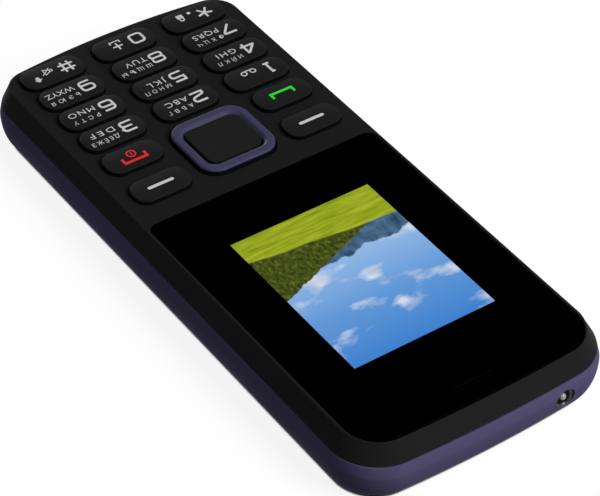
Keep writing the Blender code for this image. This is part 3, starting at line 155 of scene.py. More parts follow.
RING_UNDER_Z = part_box("nav_ring")[0][2]
CENTRE_RISE = 0.00095
CENTRE_CLEARANCE = 0.0002
CENTRE_STEM_RADIUS = 0.0015
MAT_SIDE = 0.0008
MAT_BEYOND_RING = 0.00145
MAT_END = 0.00335
MAT_CORNER = 0.0030
TORCH_SIDE = 0.0120
TORCH_X = TORCH_SIDE - BODY_HALF_WIDTH
TORCH_Z = 0.0053
TORCH_RADIUS = 0.0020
MOUNT_Z = 0.0065
USB_WIDTH = 0.0075
USB_HEIGHT = 0.0025
USB_CORNER = 0.0006
USB_OPENING_MARGIN = 0.0006
JACK_SIDE = 0.0129
JACK_X = BODY_HALF_WIDTH - JACK_SIDE
JACK_RADIUS = 0.00175
JACK_BODY_HEIGHT = 0.0044
JACK_OPENING_MARGIN = 0.0005
MIC_SIDE = 0.0139
MIC_X = MIC_SIDE - BODY_HALF_WIDTH
MIC_LENGTH = 0.0014
MIC_HOLE_RADIUS = 0.0006
SPEAKER_SHARE = 0.405
SPEAKER_DROP = 0.01635
SPEAKER_X = BODY_HALF_WIDTH * SPEAKER_SHARE
SPEAKER_Y = BODY_HALF_LENGTH - SPEAKER_DROP
SLOT_COUNT = 5
SLOT_LENGTH = 0.0090
SLOT_WIDTH = 0.0010
SLOT_PITCH = 0.0020
NOTCH_WIDTH = 0.0100
NOTCH_DEPTH = 0.0006
NOTCH_X = -0.0060
CAMERA_WINDOW_RADIUS = 0.0034
CAMERA_WINDOW_THICKNESS = 0.0005
CAMERA_WINDOW_SINK = 0.0001
CAMERA_SIGHT_RADIUS = 0.0024

# Fineness of the visible forms
CORNER_STEPS = 24
END_POINTS = 31
ROUND_STEPS = 48
ROUNDING_STEPS = 14
EDGE_STEPS = 4
FINE_EDGE_STEPS = 8
CROWN_STEPS = 6
BUMP_STEPS = 6
SOFTEN_STEPS = 5
LETTER_STEPS = 4
INK_RING_STEPS = 28
DOT_STEPS = 24
INK_CORNER_STEPS = 6
SHACKLE_STEPS = 8
SHARP_ANGLE = math.radians(30)
UPRIGHT = 0.15  # a face whose normal rises less than this counts as upright and takes the painted side shade

# Sizes that only the visible forms have
KEY_GAP = 0.0001  # round each key in its opening
KEY_EDGE = 0.0001
KEY_CROWN_INSET_SHARE = 0.8
RIM_ROUNDING = 0.0001  # along the seam
OPENING_ROUNDING = 0.00005
WINDOW_ROUNDING = 0.00005
TORCH_BEZEL_SINK = 0.0005  # how far the torch's bezel stands back from the end
TORCH_BEZEL_DEPTH = 0.0006
TORCH_BEZEL_STEP = 0.0002
TORCH_BEZEL_LIP = 0.0016
TORCH_DISH_RADIUS = 0.0014
TORCH_LENS_RADIUS = 0.00065
TORCH_LENS_RISE = 0.0006
WINDOW_BOTTOM_CORNER = 0.0018
RING_ROUNDING = 0.00045  # round the ring's outer rim

# Printing
PICTURE_WIDTH = 0.02803
PICTURE_HEIGHT = 0.03504
PICTURE_LIFT = 0.00003
PICTURE_SINK = 0.0002
PRINT_LIFT = 0.00003
PRINT_SINK = 0.0001
PRINT_LAYER = 0.000002  # how much higher each stroke lies than the one before

# Sizes of the marks in the finishes
GRAIN_SIZE = 0.00016
GRAIN_DEPTH = 0.000004
HANDLING_SIZE = 0.012
SMEAR_SIZE = 0.009
SPECK_SIZE = 0.0012
INK_COVER_SIZE = 0.00012
SCRATCH_SIZE = 0.0006
SILICONE_CLOUD_SIZE = 0.002
TRACK_PITCH = 0.004
MASK_CLOUD_SIZE = 0.001
CREASE_SIZE = 0.003
CREASE_DEPTH = 0.00002
EPOXY_HAZE_SIZE = 0.0007
LENS_HAZE_SIZE = 0.0005
LENS_TINT_SIZE = 0.004
FILM_TRACK_SIZE = 0.0008
FLOOR_TINT_SIZE = 0.4
NOISE_REACH = (0.3, 0.7)  # nearly all of a noise lies between these

# Materials


class Nodes:
    """Shader nodes of one material, added and joined in one call each."""

    def __init__(self, name, owner=None):
        self.material = owner or bpy.data.materials.new(name)
        self.material.use_nodes = True
        self.tree = self.material.node_tree
        self.shader = self.tree.nodes.get("Principled BSDF")

    def put(self, target, value):
        """Joins an output to the input target, or writes a plain value there."""
        if isinstance(value, bpy.types.NodeSocket):
            self.tree.links.new(value, target)
        else:
            target.default_value = value

    def add(self, kind, settings=None, **inputs):
        node = self.tree.nodes.new("ShaderNode" + kind)
        for key, value in (settings or {}).items():
            setattr(node, key, value)
        for key, value in inputs.items():
            self.put(node.inputs[key.replace("_", " ")], value)
        return node

    def math(self, operation, first, second=0.0):
        node = self.add("Math", {"operation": operation})
        self.put(node.inputs[0], first)
        self.put(node.inputs[1], second)
        return node.outputs[0]

    def place(self):
        return self.add("TexCoord").outputs["Object"]

    def noise(self, size, detail=3.0, place=None, roughness=0.5):
        """Noise whose features are about size across."""
        where = place or self.place()
        node = self.add("TexNoise", Vector=where, Scale=1 / size, Detail=detail, Roughness=roughness)
        return node.outputs["Fac"]

    def spread(self, value, low, high, to_low, to_high):
        """value from low to high, carried to between to_low and to_high."""
        node = self.add("MapRange", Value=value)
        for key, number in zip(("From Min", "From Max", "To Min", "To Max"), (low, high, to_low, to_high)):
            self.put(node.inputs[key], number)
        return node.outputs["Result"]

    def drift(self, noise, low, high):
        """The usual reach of a noise, carried to between low and high."""
        return self.spread(noise, *NOISE_REACH, low, high)

    def mix(self, share, first, second):
        node = self.add("Mix", {"data_type": "RGBA"})
        self.put(node.inputs["Factor"], share)
        self.put(node.inputs[6], first)
        self.put(node.inputs[7], second)
        return node.outputs[2]

    def bump(self, height, distance):
        return self.add("Bump", Height=height, Distance=distance).outputs["Normal"]

    def set(self, **inputs):
        for key, value in inputs.items():
            self.put(self.shader.inputs[key.replace("_", " ")], value)


def plain(colour):
    return (*colour, 1.0)


def grey(tone):
    return (tone, tone, tone)


def scaled(colour, share):
    return tuple(part * share for part in colour)


def mottled(name, size, detail, colours, roughness, depth=0.0, **more):
    """A finish whose colour, sheen and surface all drift with one noise."""
    made = Nodes(name)
    noise = made.noise(size, detail)
    if depth:
        more["Normal"] = made.bump(noise, depth)
    low, high = colours
    made.set(
        Base_Color=made.mix(noise, plain(low), plain(high)),
        Roughness=made.drift(noise, *roughness),
        **more,
    )
    return made.material


def moulded(name, colour, roughness, specular, grain_depth=GRAIN_DEPTH):
    """Finely spark-eroded plastic: an even grain, with slight handling marks in its sheen."""
    made = Nodes(name)
    grain = made.noise(GRAIN_SIZE, 2.0)
    handling = made.noise(HANDLING_SIZE, 4.0)
    tone = made.spread(grain, 0.35, 0.65, 0.0, 1.0)
    made.set(
        Base_Color=made.mix(tone, plain(scaled(colour, 0.90)), plain(scaled(colour, 1.10))),
        Roughness=made.drift(handling, roughness - 0.05, roughness + 0.05),
        Specular_IOR_Level=specular,
        Normal=made.bump(grain, grain_depth),
    )
    return made.material


BLACK = moulded("housing_black", grey(0.0124), 0.50, 0.015)
KEY_BLACK = moulded("key_black", grey(0.0126), 0.45, 0.04, GRAIN_DEPTH / 2)
# Darker copy of the key black for the keys' upright walls: painted shade, not a plastic of its own.
KEY_SIDE_SHADE = moulded("key_side_painted_shade", grey(0.0030), 0.55, 0.03, GRAIN_DEPTH / 2)
PURPLE = moulded("cover_purple", (0.080, 0.068, 0.146), 0.50, 0.004)
RING_PURPLE = moulded("ring_purple", (0.050, 0.047, 0.096), 0.40, 0.04, GRAIN_DEPTH / 2)
TORCH_BEZEL = moulded("torch_bezel_finish", (0.014, 0.013, 0.028), 0.28, 0.35, GRAIN_DEPTH / 4)
# Much darker copy of the ring purple for the ring's upright walls: painted shade.
RING_SIDE_SHADE = moulded("ring_side_painted_shade", (0.004, 0.004, 0.008), 0.50, 0.02, GRAIN_DEPTH / 2)
INNER_BLACK = moulded("inner_black", (0.016, 0.016, 0.017), 0.60, 0.20)


WINDOW_SHEEN = 0.025


def gloss_window():
    """Black-backed acrylic with faint smears in its polish."""
    made = Nodes("window_gloss")
    smear = made.noise(SMEAR_SIZE, 5.0)
    speck = made.noise(SPECK_SIZE, 2.0)
    made.set(
        Base_Color=made.mix(speck, plain(grey(0.0002)), plain(grey(0.0004))),
        Roughness=made.spread(smear, 0.35, 0.75, 0.04, 0.11),
        Specular_IOR_Level=WINDOW_SHEEN,
    )
    return made.material


WINDOW = gloss_window()


def paint(name, colour):
    """Ink printed on a key, a little uneven in its cover."""
    shades = (scaled(colour, 0.92), scaled(colour, 1.05))
    depth = GRAIN_DEPTH / 2
    return mottled(name, INK_COVER_SIZE, 3.0, shades, (0.42, 0.55), depth, Specular_IOR_Level=0.3)


WHITE_INK = paint("white_ink", grey(0.61))
GREEN_INK = paint("green_ink", (0.020, 0.72, 0.040))
RED_INK = paint("red_ink", (0.78, 0.018, 0.022))


def picture_light():
    """The lit picture: sky and cloud over far hills, a wooded slope and a meadow."""
    made = Nodes("display_picture")
    across = made.add("SeparateXYZ", Vector=made.place())
    u = made.math("DIVIDE", across.outputs["X"], PICTURE_HEIGHT)
    v = made.math("DIVIDE", made.math("SUBTRACT", across.outputs["Y"], DISPLAY_Y), PICTURE_HEIGHT)
    flat = made.add("CombineXYZ", X=u, Y=v).outputs[0]

    def wave(size, detail, seed, stretch=(1.0, 1.0)):
        moved = made.add("Mapping", Vector=flat, Location=(seed, seed, 0.0), Scale=(*stretch, 1.0))
        return made.noise(size, detail, moved.outputs[0], 0.55)

    def ridge(base, slope, rise, size, detail, seed):
        """A skyline's height at u."""
        line = made.add("CombineXYZ", X=u, Y=seed).outputs[0]
        rough = made.math("SUBTRACT", made.noise(size, detail, line, 0.5), 0.5)
        height = made.math("MULTIPLY_ADD", rough, rise)
        made.put(height.node.inputs[2], base)
        tilted = made.math("MULTIPLY_ADD", u, slope)
        made.put(tilted.node.inputs[2], height)
        return tilted

    def below(line, softness):
        depth = made.math("SUBTRACT", line, v)
        return made.spread(depth, -softness, softness, 0.0, 1.0)

    def ramp(value, stops):
        node = made.add("ValToRGB", Fac=value)
        elements = node.color_ramp.elements
        for k, (position, colour) in enumerate(stops):
            element = elements[k] if k < 2 else elements.new(position)
            element.position = position
            element.color = plain(colour)
        return node.outputs["Color"]

    height = made.spread(v, -0.15, 0.5, 0.0, 1.0)
    sky = ramp(height, [(0.0, (0.28, 0.48, 0.78)), (1.0, (0.050, 0.22, 0.61)), (0.5, (0.12, 0.31, 0.68))])
    banks = wave(0.42, 2.0, 3.7, (1.0, 1.3))
    wisps = wave(0.16, 9.0, 8.1, (0.8, 1.5))
    cloud = made.math("ADD", made.math("MULTIPLY", banks, 0.6), made.math("MULTIPLY", wisps, 0.4))
    cover = made.spread(cloud, 0.53, 0.62, 0.0, 1.0)
    shade = ramp(wave(0.12, 6.0, 5.2), [(0.3, (0.44, 0.52, 0.68)), (0.7, (0.82, 0.85, 0.91))])
    scene = made.mix(cover, sky, shade)

    hills = below(ridge(-0.13, 0.05, 0.20, 0.22, 6.0, 2.3), 0.004)
    rock = ramp(wave(0.06, 7.0, 1.1, (1.0, 0.7)), [(0.3, (0.015, 0.045, 0.090)), (0.72, (0.10, 0.19, 0.33))])
    scene = made.mix(hills, scene, rock)
    wood = below(ridge(-0.18, 0.38, 0.05, 0.05, 9.0, 6.6), 0.003)
    trees = ramp(
        wave(0.018, 8.0, 4.4, (1.0, 0.6)),
        [(0.3, (0.012, 0.024, 0.004)), (0.55, (0.07, 0.09, 0.012)), (0.8, (0.20, 0.21, 0.035))],
    )
    scene = made.mix(wood, scene, trees)
    meadow = below(ridge(-0.30, -0.10, 0.05, 0.30, 2.0, 9.3), 0.004)
    grass = ramp(
        wave(0.05, 6.0, 7.7, (0.25, 2.2)),
        [(0.3, (0.17, 0.25, 0.010)), (0.5, (0.30, 0.38, 0.016)), (0.75, (0.44, 0.50, 0.035))],
    )
    scene = made.mix(meadow, scene, grass)
    made.set(
        Base_Color=plain(grey(0.0)),
        Roughness=made.drift(banks, 0.05, 0.09),
        Specular_IOR_Level=WINDOW_SHEEN,
        Emission_Color=scene,
        Emission_Strength=1.0,
    )
    return made.material


PICTURE = picture_light()


def metal(name, colour, roughness):
    """Rolled sheet metal with a faint grain along its length."""
    made = Nodes(name)
    along = made.add("Mapping", Vector=made.place(), Scale=(1.0, 0.08, 1.0)).outputs[0]
    grain = made.noise(SCRATCH_SIZE, 4.0, along)
    made.set(
        Base_Color=made.mix(grain, plain(scaled(colour, 0.85)), plain(colour)),
        Metallic=1.0,
        Roughness=made.drift(grain, roughness - 0.06, roughness + 0.10),
        Normal=made.bump(grain, GRAIN_DEPTH / 2),
    )
    return made.material


STEEL = metal("sheet_steel_finish", (0.60, 0.60, 0.62), 0.34)
GOLD = metal("gold_finish", (0.83, 0.62, 0.26), 0.28)


def silicone():
    shades = ((0.10, 0.10, 0.11), (0.14, 0.14, 0.15))
    return mottled("silicone_finish", SILICONE_CLOUD_SIZE, 3.0, shades, (0.55, 0.7), GRAIN_DEPTH)


def board_green():
    """Solder mask over fine tracks."""
    made = Nodes("board_finish")
    tracks = made.add(
        "TexBrick",
        {"offset": 0.5},
        Vector=made.place(),
        Scale=1 / TRACK_PITCH,
        Mortar_Size=0.03,
        Color1=plain((0.004, 0.060, 0.026)),
        Color2=plain((0.006, 0.075, 0.034)),
        Mortar=plain((0.012, 0.120, 0.055)),
    )
    made.set(
        Base_Color=tracks.outputs["Color"],
        Roughness=made.drift(made.noise(MASK_CLOUD_SIZE, 3.0), 0.3, 0.42),
        Normal=made.bump(tracks.outputs["Fac"], GRAIN_DEPTH),
    )
    return made.material


def battery_print():
    """Dark foil wrap with slight creases."""
    shades = ((0.045, 0.046, 0.050), (0.060, 0.061, 0.066))
    return mottled("battery_finish", CREASE_SIZE, 6.0, shades, (0.32, 0.48), CREASE_DEPTH)


def clear_epoxy():
    shades = ((0.30, 0.30, 0.31), (0.60, 0.60, 0.58))
    return mottled("torch_epoxy", EPOXY_HAZE_SIZE, 3.0, shades, (0.08, 0.2), Coat_Weight=0.6)


def torch_lens_pale_with_painted_highlight():
    """Moulded clear lens over a pale reflector; the pale grey is partly real and partly a painted highlight
    for the dome's bright reflection.
    """
    shades = ((0.20, 0.20, 0.18), (0.42, 0.41, 0.38))
    sheen = {"Specular_IOR_Level": 0.5}
    return mottled("torch_lens_pale_with_painted_highlight", LENS_HAZE_SIZE, 3.0, shades, (0.08, 0.16), **sheen)


def lens_glass():
    shades = ((0.004, 0.004, 0.008), (0.008, 0.006, 0.014))
    return mottled("lens_finish", LENS_TINT_SIZE, 2.0, shades, (0.03, 0.07), Specular_IOR_Level=0.6)


def amber_film():
    made = Nodes("flex_finish")
    tracks = made.noise(FILM_TRACK_SIZE, 2.0)
    made.set(
        Base_Color=made.mix(tracks, plain((0.30, 0.12, 0.02)), plain((0.50, 0.22, 0.04))),
        Roughness=0.35,
    )
    return made.material


SILICONE = silicone()
BOARD = board_green()
WRAP = battery_print()
EPOXY = clear_epoxy()
TORCH_LENS = torch_lens_pale_with_painted_highlight()
LENS = lens_glass()
AMBER = amber_film()

NODE_FINISHES = {
    "display_module": PICTURE,
    "display_flex": AMBER,
    "keypad_mat": SILICONE,
    "nav_rocker": SILICONE,
    "main_board": BOARD,
    "battery_contacts": GOLD,
    "antenna": GOLD,
    "battery": WRAP,
    "camera_window": LENS,
    "torch_led": EPOXY,
    "rear_housing": INNER_BLACK,
    "headphone_socket": INNER_BLACK,
    "loudspeaker": INNER_BLACK,
    "camera_module": INNER_BLACK,
}


def dress_nodes():
    """Gives every CAD node a finish; the steel ones are all that aren't listed."""
    for name, node in frame["nodes"].items():
        finish = NODE_FINISHES.get(name, STEEL)
        for slot in node.material_slots:
            slot.material = finish


# Forms


def mesh_object(name, bm, skin):
    bmesh.ops.recalc_face_normals(bm, faces=bm.faces)
    mesh = bpy.data.meshes.new(name)
    bm.to_mesh(mesh)
    bm.free()
    mesh.materials.append(skin)
    made = bpy.data.objects.new(name, mesh)
    bpy.context.collection.objects.link(made)
    return made


def bridge(bm, low, high):
    """A band of faces between two rows of corners."""
    for i in range(len(low)):
        j = (i + 1) % len(low)
        bm.faces.new((low[i], low[j], high[j], high[i]))


def add_loft(bm, rings, closed=False):
    """A body through rings of points; closed joins the last ring to the first."""
    rows = [[bm.verts.new(point) for point in ring] for ring in rings]
    pairs = list(zip(rows, rows[1:]))
    if closed:
        pairs.append((rows[-1], rows[0]))
    for low, high in pairs:
        bridge(bm, low, high)
    if not closed:
        bm.faces.new(rows[0])
        bm.faces.new(rows[-1])


def loft(name, rings, skin=BLACK, closed=False):
    bm = bmesh.new()
    add_loft(bm, rings, closed)
    return mesh_object(name, bm, skin)


def darken_sides(made, skin):
    """Gives the upright faces a second, darker finish: painted shade on the walls."""
    made.data.materials.append(skin)
    for face in made.data.polygons:
        if abs(face.normal.z) < UPRIGHT:
            face.material_index = 1


def smooth(made):
    """Smooth shading that keeps sharp edges and flat faces."""
    made.data.shade_smooth()
    made.data.set_sharp_from_angle(angle=SHARP_ANGLE)
    weigh = made.modifiers.new("weighted_normal", "WEIGHTED_NORMAL")
    weigh.keep_sharp = True


def carve(target, tool, operation="DIFFERENCE"):
    """Cuts a tool from target, or joins it on, and removes the tool."""
    change = target.modifiers.new("carve", "BOOLEAN")
    change.operation = operation
    change.solver = "EXACT"
    change.object = tool
    bpy.context.view_layer.update()
    shaped = target.evaluated_get(bpy.context.evaluated_depsgraph_get())
    mesh = bpy.data.meshes.new_from_object(shaped)
    target.modifiers.clear()
    old = target.data
    target.data = mesh
    bpy.data.meshes.remove(old)
    bpy.data.objects.remove(tool, do_unlink=True)


def level(outline, z):
    return [Vector((x, y, z)) for x, y in outline]


def arc(centre, radius, start, steps):
    turn = [math.radians(start + 90 * k / steps) for k in range(steps + 1)]
    return [(centre[0] + radius * math.cos(a), centre[1] + radius * math.sin(a)) for a in turn]


def rounded(half_x, half_y, corner, x=0.0, y=0.0, steps=CORNER_STEPS // 2):
    reach_x = half_x - corner
    reach_y = half_y - corner
    points = []
    for u, v, start in ((1, 1, 0), (-1, 1, 90), (-1, -1, 180), (1, -1, 270)):
        points += arc((x + u * reach_x, y + v * reach_y), corner, start, steps)
    return points


def rectangle(half_x, half_y, x=0.0, y=0.0):
    return [(x + u * half_x, y + v * half_y) for u, v in ((1, -1), (1, 1), (-1, 1), (-1, -1))]


def circle(radius, x=0.0, y=0.0, steps=ROUND_STEPS):
    turn = [2 * math.pi * k / steps for k in range(steps)]
    return [(x + radius * math.cos(a), y + radius * math.sin(a)) for a in turn]


def bowed(half_width, top, bottom, top_corner, bottom_corner, top_bow, bottom_bow):
    """An outline with rounded corners whose two ends bow outward."""
    reach_top = half_width - top_corner
    reach_bottom = half_width - bottom_corner
    points = arc((reach_top, top - top_corner), top_corner, 0, CORNER_STEPS)
    for k in range(1, END_POINTS + 1):
        points.append((reach_top * (1 - 2 * k / (END_POINTS + 1)), top))
    points += arc((-reach_top, top - top_corner), top_corner, 90, CORNER_STEPS)
    points += arc((-reach_bottom, bottom + bottom_corner), bottom_corner, 180, CORNER_STEPS)
    for k in range(1, END_POINTS + 1):
        points.append((reach_bottom * (2 * k / (END_POINTS + 1) - 1), bottom))
    points += arc((reach_bottom, bottom + bottom_corner), bottom_corner, 270, CORNER_STEPS)
    middle = (top + bottom) / 2
    bent = []
    for x, y in points:
        bow = -top_bow if y > middle else bottom_bow
        bent.append((x, y + bow * (x / half_width) ** 2))
    return bent


def body_outline(side, top, bottom):
    return bowed(
        BODY_HALF_WIDTH - side,
        BODY_HALF_LENGTH - top,
        bottom - BODY_HALF_LENGTH,
        max(TOP_CORNER - side, LEAST_CORNER),
        max(BOTTOM_CORNER - side, LEAST_CORNER),
        TOP_BOW,
        BOTTOM_BOW,
    )


def lean_at(z):
    """Share of the upper walls' lean reached at height z."""
    if z <= SEAM_Z:
        return SEAM_LEAN_SHARE * max(z - WIDEST_Z, 0.0) / (SEAM_Z - WIDEST_Z)
    rise = (z - SEAM_Z) / (SLOPE_FOOT_Z - SEAM_Z)
    return SEAM_LEAN_SHARE + (1 - SEAM_LEAN_SHARE) * rise


def upper_ring(z, inward=0.0):
    share = lean_at(min(z, SLOPE_FOOT_Z))
    return level(
        body_outline(
            inward + SIDE_LEAN * share, inward + TOP_LEAN * share, inward + BOTTOM_LEAN * share
        ),
        z,
    )


def lower_rings(inward, low):
    """Rings of the rounded lower edge from low up to the widest line."""
    rings = []
    for k in range(ROUNDING_STEPS):
        turn = math.radians(90 - 90 * k / ROUNDING_STEPS)
        side = (SIDE_ROUNDING - inward) * (1 - math.cos(turn))
        end = (END_ROUNDING - inward) * (1 - math.cos(turn))
        z = WIDEST_Z - (WIDEST_Z - low) * math.sin(turn)
        rings.append(level(body_outline(inward + side, inward + end, inward + end), z))
    rings.append(level(body_outline(inward, inward, inward), WIDEST_Z))
    return rings


def quarter(steps=EDGE_STEPS):
    """Pairs (sine, 1 - cosine) through a quarter turn."""
    turns = [math.radians(90 * k / steps) for k in range(steps + 1)]
    return [(math.sin(a), 1 - math.cos(a)) for a in turns]


def prism(name, outline, low, high, skin=BLACK):
    return loft(name, [level(outline, low), level(outline, high)], skin)


def opening(outline_at, low, top):
    """A cutter whose mouth at height top widens by a small rounding."""
    rounding = OPENING_ROUNDING
    rings = [level(outline_at(0.0), low)]
    for rise, spread in quarter():
        rings.append(level(outline_at(rounding * spread), top - rounding + rounding * rise))
    rings.append(level(outline_at(rounding), top + OVERRUN))
    return rings


def cut_openings(target, openings, name):
    bm = bmesh.new()
    for rings in openings:
        add_loft(bm, rings)
    carve(target, mesh_object(name, bm, target.data.materials[0]))


def key_places():
    """The middle and half width of every key but the centre one."""
    rows = (("1", "2", "3"), ("4", "5", "6"), ("7", "8", "9"), ("star", "0", "hash"))
    places = {}
    for row, labels in enumerate(rows):
        for column, label in enumerate(labels):
            middle = ((column - 1) * KEY_COLUMN, FIRST_ROW_Y - row * KEY_ROW)
            places["key_" + label] = (middle, KEY_WIDTH / 2)
    for pair, y in ((("soft_left", "soft_right"), SOFT_Y), (("call", "end"), CALL_Y)):
        for side, label in zip((-1, 1), pair):
            places["key_" + label] = ((side * SOFT_X, y), SOFT_WIDTH / 2)
    return places


def window_outline(margin=0.0):
    return bowed(
        WINDOW_HALF_WIDTH + margin,
        WINDOW_TOP + margin,
        WINDOW_BOTTOM - margin,
        WINDOW_TOP_CORNER + margin,
        WINDOW_BOTTOM_CORNER + margin,
        WINDOW_BOW,
        0.0,
    )


def key_opening(place, half_x, half_y, corner, gap):
    def outline(margin):
        return rounded(half_x + gap + margin, half_y + gap + margin, corner + gap + margin, *place)

    return opening(outline, PLATE_UNDER_Z - OVERRUN, FACE_Z)


def front_shell():
    """The moulded front with rounded openings."""
    rings = []
    for rise, spread in quarter():
        rings.append(upper_ring(SEAM_Z + RIM_ROUNDING * spread, RIM_ROUNDING * (1 - rise)))
    for rise, spread in quarter(FINE_EDGE_STEPS):
        z = SLOPE_FOOT_Z + FACE_EDGE * rise
        rings.append(upper_ring(z, FACE_ROUNDING * spread))
    shell = loft("front_shell", rings, BLACK)
    hollow = [upper_ring(SEAM_Z, FRONT_WALL), upper_ring(WINDOW_PLATE_UNDER_Z, FRONT_WALL)]
    hollow.insert(0, [point - Vector((0.0, 0.0, OVERRUN)) for point in hollow[0]])
    carve(shell, loft("front_hollow", hollow))
    mat_top = NAV_Y + RING_HALF_HEIGHT + MAT_BEYOND_RING
    mat_bottom = LAST_ROW_Y - MAT_END
    half_x = KEY_FIELD_HALF_WIDTH + MAT_SIDE + GAP
    half_y = (mat_top - mat_bottom) / 2 + GAP
    field = rounded(half_x, half_y, MAT_CORNER, 0.0, (mat_top + mat_bottom) / 2)
    carve(shell, prism("keypad_field", field, WINDOW_PLATE_UNDER_Z - OVERRUN, PLATE_UNDER_Z))

    def pocket(margin):
        return window_outline(WINDOW_GAP + margin)

    openings = [opening(pocket, POCKET_Z, FACE_Z)]
    for place, half_x in key_places().values():
        openings.append(key_opening(place, half_x, KEY_HEIGHT / 2, KEY_CORNER, KEY_GAP))
    ring = (RING_HALF_WIDTH, RING_HALF_HEIGHT, RING_CORNER)
    openings.append(key_opening((0.0, NAV_Y), *ring, TILT_CLEARANCE))
    cut_openings(shell, openings, "face_openings")
    smooth(shell)
    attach(shell, "phone_body")
    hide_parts("front_housing")


def window():
    """The gloss window with its rounded edge and earpiece slot."""
    rings = [level(window_outline(), WINDOW_UNDER_Z)]
    for rise, spread in quarter():
        z = FACE_Z - WINDOW_ROUNDING + WINDOW_ROUNDING * rise
        rings.append(level(window_outline(-WINDOW_ROUNDING * spread), z))
    pane = loft("window_pane", rings, WINDOW)

    def slot(margin):
        half_x, half_y = EARPIECE_SLOT / 2 + margin, EARPIECE_SLOT_HEIGHT / 2 + margin
        return rounded(half_x, half_y, half_y, 0.0, EARPIECE_Y)

    mouth = opening(slot, WINDOW_UNDER_Z - OVERRUN, FACE_Z)
    cut_openings(pane, [mouth], "earpiece_slot")
    smooth(pane)
    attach(pane, "phone_body")
    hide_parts("display_window")
    sheet = rectangle(PICTURE_WIDTH / 2, PICTURE_HEIGHT / 2, 0.0, DISPLAY_Y)
    picture = prism("display_picture", sheet, FACE_Z - PICTURE_SINK, FACE_Z + PICTURE_LIFT, PICTURE)
    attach(picture, "phone_body")


def key_height(x, y, half_x):
    """Height of a key's crowned top at (x, y) from its middle."""
    half_y = KEY_HEIGHT / 2
    reach_x = abs(x) - half_x + KEY_CORNER
    reach_y = abs(y) - half_y + KEY_CORNER
    outside = math.hypot(max(reach_x, 0.0), max(reach_y, 0.0)) + min(max(reach_x, reach_y), 0.0)
    inset = KEY_CORNER - outside
    crown = KEY_CROWN_INSET_SHARE * half_y
    share = min(max(inset - KEY_EDGE, 0.0) / (crown - KEY_EDGE), 1.0)
    return FACE_Z + KEY_RISE + KEY_CROWN * math.sin(math.radians(90 * share))


def edged(inset, under, top):
    """Rings of a key's wall from under up to its finely rounded edge at top."""
    rings = [inset(0.0, under)]
    for rise, spread in quarter():
        rings.append(inset(KEY_EDGE * spread, top - KEY_EDGE + KEY_EDGE * rise))
    return rings


def key_cap(name, place, half_x):
    """A key with a crowned top, a fine edge and its two ears."""
    x, y = place
    half_y = KEY_HEIGHT / 2
    top = FACE_Z + KEY_RISE
    crown = KEY_CROWN_INSET_SHARE * half_y

    def inset(amount, z):
        return level(rounded(half_x - amount, half_y - amount, KEY_CORNER - amount, x, y), z)

    rings = edged(inset, KEY_UNDER_Z, top)
    for k in range(1, CROWN_STEPS + 1):
        share = k / CROWN_STEPS
        amount = KEY_EDGE + (crown - KEY_EDGE) * share
        rings.append(inset(amount, top + KEY_CROWN * math.sin(math.radians(90 * share))))
    cap = loft(name + "_cap", rings, KEY_BLACK)
    ears = rectangle(half_x + EAR_REACH, EAR_HEIGHT / 2, x, y)
    carve(cap, prism(name + "_ears", ears, EAR_TOP_Z - EAR_THICKNESS, EAR_TOP_Z, KEY_BLACK), "UNION")
    # The key's upright walls take painted shade.
    darken_sides(cap, KEY_SIDE_SHADE)
    smooth(cap)
    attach(cap, name)
    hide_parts(name)


def keys():
    for name, (place, half_x) in key_places().items():
        key_cap(name, place, half_x)


def nav_ring():
    """The coloured ring with a rounded rim and an inner slope."""

    def outer(inset, z):
        half_x, half_y = RING_HALF_WIDTH - inset, RING_HALF_HEIGHT - inset
        return level(rounded(half_x, half_y, RING_CORNER - inset, 0.0, NAV_Y, CORNER_STEPS), z)

    def between(share, z):
        half_x = RING_INNER_HALF_WIDTH - RING_SLOPE_WIDTH * share
        half_y = RING_INNER_HALF_HEIGHT - RING_SLOPE_HEIGHT * share
        corner = RING_INNER_CORNER + (RING_OPENING_CORNER - RING_INNER_CORNER) * share
        return level(rounded(half_x, half_y, corner, 0.0, NAV_Y, CORNER_STEPS), z)

    top = FACE_Z + RING_RISE
    lip_top = RING_UNDER_Z + RING_LIP_THICKNESS
    rings = [
        between(1.0, RING_UNDER_Z),
        outer(-RING_LIP_REACH, RING_UNDER_Z),
        outer(-RING_LIP_REACH, lip_top),
        outer(0.0, lip_top),
    ]
    for rise, spread in quarter():
        rings.append(outer(RING_ROUNDING * spread, top - RING_ROUNDING + RING_ROUNDING * rise))
    blend_share = 0.2
    rings.append(between(-blend_share, top))
    rings.append(between(0.0, top - RING_DIP * blend_share / 4))
    rings.append(between(blend_share, top - RING_DIP * blend_share))
    rings.append(between(1 - blend_share / 2, top - RING_DIP * (1 - blend_share / 2)))
    rings.append(between(1.0, top - RING_DIP - RING_EDGE / 2))
    ring = loft("nav_ring_rim", rings, RING_PURPLE, closed=True)
    # The ring's upright walls take painted shade.
    darken_sides(ring, RING_SIDE_SHADE)
    smooth(ring)
    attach(ring, "nav_ring")
    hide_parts("nav_ring")


def centre_key():
    half_x = RING_OPENING_HALF_WIDTH - CENTRE_CLEARANCE
    half_y = RING_OPENING_HALF_HEIGHT - CENTRE_CLEARANCE
    corner = RING_OPENING_CORNER - CENTRE_CLEARANCE
    top = FACE_Z + CENTRE_RISE
    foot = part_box("key_centre")[0][2]
    under = RING_UNDER_Z + GAP / 2

    def inset(amount, z):
        return level(rounded(half_x - amount, half_y - amount, corner - amount, 0.0, NAV_Y), z)

    cap = loft("key_centre_cap", edged(inset, under, top), KEY_BLACK)
    stem = circle(CENTRE_STEM_RADIUS, 0.0, NAV_Y)
    carve(cap, prism("centre_stem", stem, foot, under + GAP, KEY_BLACK), "UNION")
    smooth(cap)
    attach(cap, "key_centre")
    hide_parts("key_centre")


